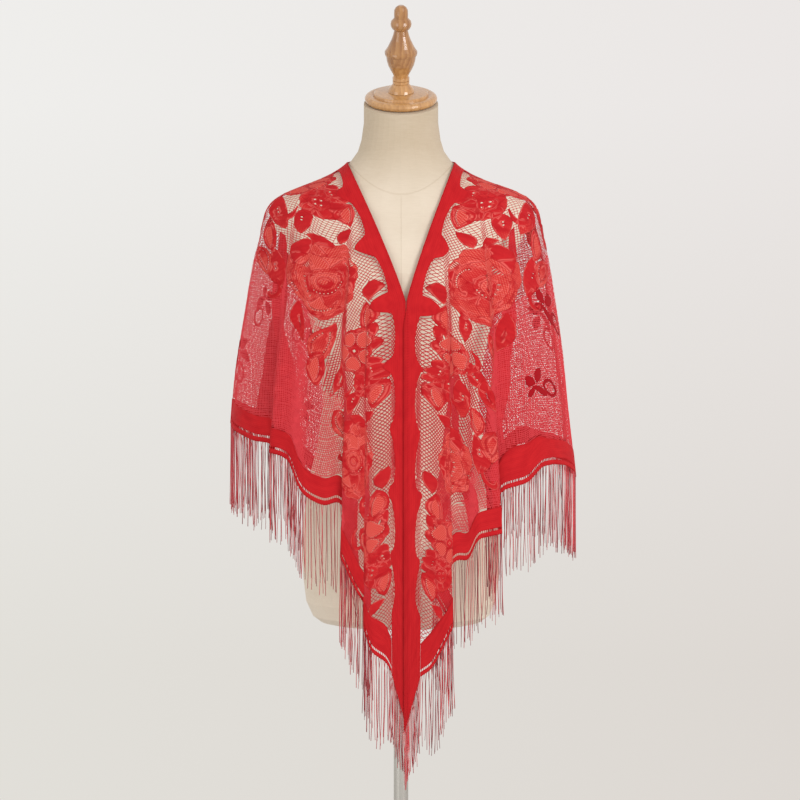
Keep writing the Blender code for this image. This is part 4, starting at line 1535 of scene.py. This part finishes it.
# %% The lace panels
FLATTER = 0.35  # a thread of the net is this high, as a share of its width
lace = {}
for name, group in net_lines.items():
    widths = np.concatenate(group["widths"])
    net_points, net_faces = strands(group["lines"], group["outs"], widths, widths * FLATTER)
    net_flat = np.repeat(np.concatenate(group["flat"]), 3, axis=0)
    corners, *values = zip(*filled[name])
    starts = np.cumsum([0] + [len(part) for part in values[0]])
    faces = np.concatenate([part + start for part, start in zip(corners, starts)])
    points, out, flat, dense, tone = (np.concatenate(value) for value in values)
    points, faces = thickened(points, out, faces, FLOWER_THICK)
    net_spread = np.tile(NET_SPREAD, (len(net_flat) // 3, 1))
    spread = np.concatenate([net_spread, np.repeat(SIDES_APART, len(flat), axis=0)])
    no_net = np.zeros(len(net_points))
    made = mesh_object(
        f"lace_panel_{name}",
        np.concatenate([net_points, points]),
        net_faces + [[i + len(net_points) for i in face] for face in faces],
        [net_thread, flower_knit.material],
        np.concatenate([net_flat, flat, flat]),
        spread,
        dense=np.concatenate([no_net, dense, dense]),
        tone=np.concatenate([no_net, tone, tone]),
        dye=np.concatenate([*group["dye"], np.zeros(len(points))]),
    )
    kinds = np.repeat([0, 1], [len(net_faces), len(faces)])
    made.data.polygons.foreach_set("material_index", kinds)
    made.data.polygons.foreach_set("use_smooth", kinds == 1)
    # Real thread is partly clear, so a net hardly shades or tints what it hangs on
    made.visible_shadow = made.visible_diffuse = False
    lace[name] = made
    made.data.calc_loop_triangles()
    count = len(made.data.loop_triangles)
    print(made.name, count, "triangles, of which the net", 2 * len(net_faces))

# %% [markdown]
# ## Tucked cloth
#
# Where a pleat lies over, the cloth behind it comes in three layers, and the mesh no longer lets
# anything show through. The walls of the frame are too thick for such layers, so each tuck is a
# strip of close cloth just behind the lace. It widens downwards, from one share of the fall to the
# hem, between two columns.

# %% Strips behind the lace
TUCKS = {  # for each strip: the share of the fall, and the columns between which it lies there
    "left": [
        [(0.32, 91, 94), (0.55, 80, 93), (0.75, 69, 88.5), (0.88, 65, 82), (1.0, 63, 77)],
        [(0.60, 27, 30), (0.80, 26, 33), (1.0, 24, 34)],
    ],
    "back": [
        [(0.30, 156, 158), (0.60, 152, 160), (1.0, 150, 163)],
        [(0.25, 298, 299), (0.60, 296, 304), (1.0, 296, 307)],
    ],
    "right": [
        [(0.26, 343, 346), (0.42, 347, 352), (0.60, 351, 359)]
        + [(0.75, 354, 367), (0.90, 357, 380), (1.0, 357, 380)],
        [(0.38, 395, 396), (0.52, 392, 396.5), (0.70, 392, 395.5)]
        + [(0.90, 386, 390), (1.0, 385, 389)],
    ],
}
TUCK_BEHIND, TUCK_THICK = 1.1 * MM, 0.7 * MM
TUCK_ROWS, TUCK_FINENESS = 60, 1.5  # rows down a strip, and points to a column across it
RAGGED = ((0.5, 31, 0), (0.6, 23, 1))  # by how many columns each edge wavers, how fast, from where


def tuck(strip):
    """A strip's places: the columns, the shares of the fall there, and how many lie across."""
    share, *edges = np.array(strip).T
    down = np.linspace(share[0], share[-1], TUCK_ROWS)
    first, last = (
        smooth_curve(share, edge)(down) + by * np.sin(down * pace + start)
        for edge, (by, pace, start) in zip(edges, RAGGED)
    )
    count = int((last - first).max() * TUCK_FINENESS) + 2
    return (first + (last - first) * np.linspace(0, 1, count)[:, None]).ravel(), down, count


tucks = {}
for name, strips in TUCKS.items():
    points, outs, flat, faces = [], [], [], []
    for strip in strips:
        every, down, count = tuck(strip)
        down = np.tile(down, count)
        out = unit(between(lace_out, every, down * LACE_ROWS))
        start = sum(len(part) for part in points)
        faces += [[i + start for i in face] for face in sheet_faces(count, TUCK_ROWS)]
        points.append(between(lace_grid, every, down * LACE_ROWS) - out * TUCK_BEHIND)
        outs.append(out)
        su, hu, hv = column_lines(every)
        flat.append(np.stack([su + (hu - su) * down, hv * down], axis=1))
    points, outs, flat = (np.concatenate(parts) for parts in (points, outs, flat))
    sheet = (points, outs, faces, TUCK_THICK, fold_knit, flat)
    tucks[name] = sheet_object(f"lace_tucks_{name}", *sheet)

# %% [markdown]
# ## The neck band
#
# The neck band is close knitting from the edge of the V to the lace. Below the V its two ends hang
# side by side down the front. There the right one lies over the left one by a few millimetres, and
# its edge shows small picot teeth; the band's other edges are straight. It could be cut from the
# frame's wall, but rows of points across it let the cusps be as fine as they are.

# %% The neck band
BAND_LIFT, BAND_THICK = 0.5 * MM, 1.0 * MM
PICOT, PICOT_DEEP, LAP = 3.4, 0.8, 3.5  # millimetres
LAP_LIFT, LAP_FROM, LAP_WAY = 1.5 * MM, 4 * MM, 30 * MM
BAND_EDGE, BAND_FIRST = -20, -17.5  # the band's edge and its first row of points, in millimetres
BAND_SHARES = (0.22, 0.45, 0.68, 0.88, 0.96, 1)  # the other rows, from the first to the border
END_GAP, BAND_STEP = 0.3 * MM, 1.1 * MM
neck_bands = {}
u_cuts = [section_u[0] + END_GAP, start_u[cuts[0]], start_u[cuts[1]], section_u[-1] - END_GAP]
for name, start, end in zip(STRETCHES, u_cuts, u_cuts[1:]):
    u = np.linspace(start, end, int((end - start) / BAND_STEP))
    below = eased((u - start_u[-1] - LAP_FROM) / LAP_WAY) if name == "right" else 0 * u
    teeth = PICOT_DEEP * np.abs(np.sin(math.pi * u / (PICOT * MM)))
    reach = neck_border(u / MM) - BAND_FIRST
    rows = [BAND_EDGE - below * (LAP + teeth), BAND_FIRST + 0 * u]
    v = np.stack(rows + [BAND_FIRST + reach * share for share in BAND_SHARES], axis=1)
    flat = np.stack([np.repeat(u, v.shape[1]), v.ravel() * MM], axis=1)
    strip, out, _ = hung(*flat.T)
    lift = BAND_LIFT + (below * LAP_LIFT)[:, None] * eased((-v - 6) / 12)
    points = strip + out * lift.ravel()[:, None]
    faces = sheet_faces(*v.shape)
    sheet = (points, out, faces, BAND_THICK, band_knit, flat)
    neck_bands[name] = sheet_object(f"neck_knit_{name}", *sheet)

# %% [markdown]
# ## The hem band
#
# The hem band is close too, with a row of eyelets above small scallops where the fringe starts. The
# eyelets could be holes cut by booleans; here they are faces of the sheet that are left out.

# %% The hem band
TOOTH, TOOTH_DEEP = 4.0, 0.8  # millimetres from one scallop of the hem to the next, and deep
HEM_STEP = 1.0 * MM
HEM_LINES = np.array((0, 5, 11, 17, 22, 23.8, 27.0, 30.5, 33.2))  # rows down the band, millimetres
RISE_LINES = (1, 0.5)  # the rows above them, as shares of how far the band rises into the lace
EYELET_ROW = len(RISE_LINES) + 5
EYELET_EVERY = 3  # two open faces, then one that is closed
HEM_CUT = 0.9  # where the band starts in the flat cut, as a share of the lace's depth
to_row = HEM_ROWS * MM / HEM_BAND  # rows of the grid to a millimetre
hem_lower = arc(hem_grid[:, -1])
hem_bands = {}
for name, start, end in zip(STRETCHES, ENDS, ENDS[1:]):
    along = np.append(np.arange(hem_lower[start], hem_lower[end], HEM_STEP), hem_lower[end])
    at = np.interp(along, hem_lower, columns_at)
    rises = -hem_border(at)[:, None] * RISE_LINES
    down = np.concatenate([rises, np.repeat(HEM_LINES[None], len(at), axis=0)], axis=1)
    down[:, -1] += TOOTH_DEEP * np.abs(np.sin(math.pi * along / (TOOTH * MM)))
    every, rows = np.repeat(at, down.shape[1]), down.ravel()
    up = LACE_ROWS * (1 + rows / np.interp(every, columns_at, lengths))
    above = (rows < 0)[:, None]
    points = np.where(above, between(lace_grid, every, up), between(hem_grid, every, rows * to_row))
    out = np.where(above, between(lace_out, every, up), between(hem_out, every, rows * to_row))
    points += unit(out) * BAND_LIFT
    keep = np.ones((len(at) - 1, down.shape[1] - 1), bool)
    keep[np.arange(len(at) - 1) % EYELET_EVERY > 0, EYELET_ROW] = False
    flat = [np.repeat(along - hem_lower[nape], down.shape[1]), DEPTH * HEM_CUT + rows * MM]
    flat, faces = np.stack(flat, axis=1), sheet_faces(*down.shape, keep)
    sheet = (points, out, faces, BAND_THICK, band_knit, flat)
    hem_bands[name] = sheet_object(f"hem_knit_{name}", *sheet)

# %% [markdown]
# ## The fringe
#
# Loose threads hang from each scallop. They are cut by hand, so their ends are uneven, and they
# cling together in wisps. A hair system would place them, but not where each wisp starts. Here each
# thread is drawn to its wisp's middle towards its end.

# %% Where the threads start
THREAD_GAP, GAP_VARIES = 3.0 * MM, 0.35 * MM
START_ROW = HEM_ROWS * 0.985  # a thread starts just above the hem band's lower edge
TIP_REACH = 22 * MM  # the length along the hem that the threads of a tip's end count for


def fringe_starts(name, start, end):
    """Where a stretch's threads start: how far along the hem, the point, and the way out there."""
    along = np.arange(hem_lower[start] + MM, hem_lower[end] - MM, THREAD_GAP)
    along = along + chance.normal(0, GAP_VARIES, len(along))
    at = np.interp(along, hem_lower, columns_at)
    top = between(hem_grid, at, np.full(len(at), START_ROW))
    out = between(hem_out, at, np.full(len(at), HEM_ROWS - 0.01))
    if name != "back":  # the neck band's end at the front tip has its threads too
        tip, first, side = (0, 0, LEFT) if name == "left" else (-1, len(top), RIGHT)
        across = sections[tip, -1] - sections[tip, 0]
        share = np.arange(0, 1, THREAD_GAP / np.linalg.norm(across))
        ends = sections[tip, 0] + across * share[:, None] + (0, 0, MM)
        spare = np.repeat(section_out[tip, :1], len(ends), axis=0)
        place = np.full(len(ends), first)
        top, out = np.insert(top, place, ends, axis=0), np.insert(out, place, spare, axis=0)
        along = np.insert(along, place, hem_lower[tip] - side * (share - 1) * TIP_REACH)
    return along, top, unit(out * (1, 1, 0))


print("the hem is", round(hem_lower[-1], 3), "m long as it hangs")

# %% The fringe's threads
THREAD_WIDTH, THREAD_POINTS = 0.80 * MM, 9
ROUNDER = 0.9  # a thread of the fringe is this high, as a share of its width
FRINGE_DROP, TIP_DROP, LONGEST = 120 * MM, 90 * MM, 128 * MM
TIP_WAY = 25 * MM  # from a tip, along which the fringe comes to its full length
WISP, WISP_SHIFT, WISP_WAY = 8.5 * MM, 0.7, 23 * MM  # how wide, and how its start wanders
CLINGS, LOOSE = 0.95, 0.45  # how far a thread is drawn to its wisp's middle
SWAY_THREAD, SWAY_WISP = 0.45 * MM, 2.6 * MM
STRAYS, STRAY_SWAY = 0.03, 9 * MM
LIFT = 1.2 * MM  # how far threads stand out or in at their ends
WAVE = 0.7 * MM
fringes = {}
share = np.linspace(0, 1, THREAD_POINTS)
for name, start, end in zip(STRETCHES, ENDS, ENDS[1:]):
    along, top, out = fringe_starts(name, start, end)
    count = len(along)
    side = np.stack([-out[:, 1], out[:, 0], 0 * along], axis=1)
    wisp = np.floor(along / WISP + WISP_SHIFT * np.sin(along / WISP_WAY)).astype(int)
    middle = np.array([along[wisp == w].mean() for w in wisp])
    close = LOOSE + (CLINGS - LOOSE) * (np.sin(wisp * 2.9) > -0.75)  # a few wisps hang apart
    drift = (middle - along) * close * chance.uniform(0.9, 1.0, count)
    sway = chance.normal(0, SWAY_THREAD, count) + SWAY_WISP * np.sin(wisp * 1.7)
    stray = chance.random(count) < STRAYS
    sway += stray * chance.normal(0, STRAY_SWAY, count)
    lift = chance.normal(0, LIFT, count)
    length = FRINGE_DROP * chance.uniform(0.92, 1.07, count) * (1 + 0.05 * np.sin(wisp * 2.3))
    from_tip = np.clip(np.minimum(along, hem_lower[-1] - along), 0, None)
    shorter = (1 - TIP_DROP / FRINGE_DROP) * np.clip(1 - from_tip / TIP_WAY, 0, 1)
    length = np.minimum(length, LONGEST) * (1 - shorter)
    phase = chance.uniform(0, 6.28, count)[:, None]
    bend = share**1.6
    aside = drift[:, None] * share**0.25 + sway[:, None] * bend
    aside = aside + WAVE * np.sin(phase + share * 7) * share
    lines = top[:, None] + side[:, None] * aside[..., None]
    lines = lines + out[:, None] * (lift[:, None] * bend)[..., None]
    lines[..., 2] -= length[:, None] * share
    outs = np.repeat(out[:, None], THREAD_POINTS, axis=1)
    widths = np.repeat(THREAD_WIDTH * chance.uniform(0.7, 1.25, count), THREAD_POINTS)
    points, faces = strands(lines, outs, widths, widths * ROUNDER)
    flat = [np.repeat(along - hem_lower[nape], THREAD_POINTS), np.tile(share * FRINGE_DROP, count)]
    flat = np.repeat(np.stack(flat, axis=1), 3, axis=0)
    spread = np.tile(FRINGE_SPREAD, (len(flat) // 3, 1))
    dye = chance.uniform(0, 0.55, count) + 0.45 * (np.sin(wisp * 4.1) > -0.3)
    dye = np.repeat(dye, 3 * THREAD_POINTS)
    name_of = f"fringe_threads_{name}"
    fringes[name] = mesh_object(name_of, points, faces, fringe_thread, flat, spread, dye=dye)
    print(name_of, count, "threads")

# %% [markdown]
# ## The dress form
#
# The frame's own solids have the right shape, so they keep it and get finishes. The form is covered
# in plain-woven linen with a few slubs, and seams run round its neck and down its middle. An image
# of linen would have to be fitted round it; waves across the object's own place need no fitting.

# %% Linen
NECK_SHADE = (1400, 1500)  # heights in millimetres between which the linen gets darker: painted shade on the neck
SEAM, SEAM_BOW = 1421, 0.0080  # the collar seam's height, and how it rises to the sides
linen = Finish("linen", Roughness=0.85, Specular_IOR_Level=0.2, Sheen_Weight=0.1)
at, (x, y, z) = linen.place()
warp, weft = (x + y * 0.6).wave(0.9), z.wave(0.95)
slubs = linen.noise(at, 3.2, 3, (0.25, 0.25, 2.2))
cloudy = linen.noise(at, 70, 2)
weave = warp * 0.5 + weft * 0.5
tone = (slubs * 0.3 + cloudy * 0.5 + weave * 0.15 + 0.1).clamped()
# painted shade: the linen of the neck is darker than that of the chest
tone = (tone - z.step(*NECK_SHADE) * 0.75 + 0.3).clamped()
seam = (z - x * x * SEAM_BOW - SEAM).math("ABSOLUTE").step(0.4, 1.8)
middle = 1 - (1 - x.math("ABSOLUTE").step(0.3, 1.2)) * (1 - z.step(SEAM - 7, SEAM))
seams = 1 - (1 - seam * middle) * (1 - y.step(-10, 0))
tone = (tone + seams * 0.22 - 0.22).clamped()
linen.paint(tone, (0.50, 0.405, 0.29), (0.72, 0.625, 0.51))
linen.bump(weave * 0.25 + slubs * 0.2 + seams * 0.5, 0.4)
print("linen's nodes", len(linen.nodes))

# %% [markdown]
# ## Cap, finial and stand
#
# The cap and the finial are turned wood under varnish, so the grain runs along the axis and a clear
# coat lies over it. The pole and the base are satin steel, with fine marks along the pole that only
# change how rough it is.

# %% Wood
FINIAL = (1590, 1604)  # heights between which the wood gets darker, from the cap to the finial
wood = Finish("turned_wood", Roughness=0.3, Coat_Weight=0.8, Coat_Roughness=0.12)
at, (x, y, z) = wood.place()
grain = wood.noise(at, 5, 4, (1, 1, 0.09))
lines = (x * 0.8 + y * 0.5 + grain * 14).wave(6)
tone = (grain * 0.65 + lines * 0.16 + 0.08 - z.step(*FINIAL) * 0.28).clamped()
wood.paint(tone, (0.27, 0.10, 0.022), (0.76, 0.43, 0.165))
wood.bump(grain, 0.012)
print("wood's nodes", len(wood.nodes))

# %% Steel
steel = Finish("satin_steel", Metallic=1.0, Base_Color=(0.56, 0.54, 0.50))
at, _ = steel.place()
marks = steel.noise(at, 0.8, 2, (1, 1, 0.05))
steel.set(Roughness=marks * 0.2 + 0.28)
steel.bump(marks, 0.02)

finishes = {"form_torso": linen, "neck_cap": wood, "finial": wood, "pole": steel, "base": steel}
for name, finish in finishes.items():
    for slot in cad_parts[name].material_slots:
        slot.material = finish.material
print("finished", ", ".join(finishes))

# %% [markdown]
# ## Floor, light and air
#
# A plain pale floor reaches out to where the world's pale colour takes over. The world could be one
# flat grey, but its colour is painted darker at its foot and to one side, as shade falls on a real
# studio wall. A large soft light stands in front at the right, a weaker one at the left.

# %% The studio
FLOOR, FLOOR_SIDES = 2.3, 96
floor_finish = Finish("floor", Roughness=0.8, Specular_IOR_Level=0.1)
at, _ = floor_finish.place()
floor_finish.paint(floor_finish.noise(at, 900, 2), (0.58, 0.575, 0.57), (0.65, 0.645, 0.64))
edge = np.column_stack([circle(FLOOR_SIDES, FLOOR), np.zeros(FLOOR_SIDES)])
floor = mesh_object("floor", edge, [list(range(FLOOR_SIDES))], floor_finish.material)

studio = Finish("studio", "worlds", "Background", Strength=1.06)
x, y, z = studio.parts(studio.node("ShaderNodeTexCoord", {}, out="Generated"))
# painted shade: the world's colour is darker low down and to one side, as on a lit studio wall
upwards = studio.mix(z * 4.5 + 0.75, (0.735, 0.72, 0.68), (0.84, 0.835, 0.82))
sideways = studio.mix(x * 3.2 + 0.5, (0.97, 0.965, 0.96), (0.93, 0.90, 0.90))
studio.set(Color=studio.mix(1.0, upwards, sideways, "MULTIPLY"))
bpy.context.scene.world = studio.material
print("floor", 2 * FLOOR, "m across")

# %% The lights
CHEST = Vector((0, 0, 1.1))


def soft_light(name, place, size, watts):
    """A square light that faces the form's chest."""
    data = bpy.data.lights.new(name, "AREA")
    data.size, data.energy = size, watts
    lamp = bpy.data.objects.new(name, data)
    lamp.location = place
    lamp.rotation_euler = (CHEST - Vector(place)).to_track_quat("-Z", "Y").to_euler()
    bpy.context.collection.objects.link(lamp)


soft_light("key", (1.9, -2.3, 1.9), 1.2, 42)
soft_light("fill", (-2.2, -2.0, 1.2), 1.6, 14)
bpy.context.scene.view_settings.view_transform = "Standard"
print("lights", [light.name for light in bpy.data.lights])

# %% [markdown]
# ## The size of the cut
#
# The lace was cut before it was hung, so its size is worked out in the flat: along the neck band,
# and back along the hem.

# %% The flat sizes
CUT_POINTS = 60  # along each stretch's hem


def cut_size(first, last):
    """The width, the length and the area of the flat cut between two columns."""
    at = np.linspace(first, last, CUT_POINTS)[::-1]
    hem = np.stack([np.interp(at, columns_at, line) for line in (hem_u, hem_v)], axis=1)
    x, y = np.concatenate([[(start_u[first], 0), (start_u[last], 0)], hem]).T
    area = abs(np.dot(x, np.roll(y, -1)) - np.dot(y, np.roll(x, -1))) / 2
    return float(np.ptp(x)), float(np.ptp(y)), float(area)


flat_sizes = {name: cut_size(*ends) for name, *ends in zip(STRETCHES, ENDS, ENDS[1:])}
print("flat sizes", {name: [round(s, 3) for s in sizes] for name, sizes in flat_sizes.items()})

# %% [markdown]
# ## What stands for what
#
# Every new piece rides on the one body and replaces the plain wall it stands for, and the flat
# size that each lace stretch was cut to is looked up.

# %% Joining the frame
for name in STRETCHES:
    pieces = {
        f"lace_{name}": (lace[name], "red_lace"),
        f"neck_band_{name}": (neck_bands[name], "red_band"),
        f"hem_band_{name}": (hem_bands[name], "red_band"),
        f"fringe_{name}": (fringes[name], "red_fringe"),
    }
    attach(tucks[name], "root")
    for node, (piece, slot) in pieces.items():
        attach(piece, "root")
        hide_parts(node)
    width, length, area = flat_sizes[name]
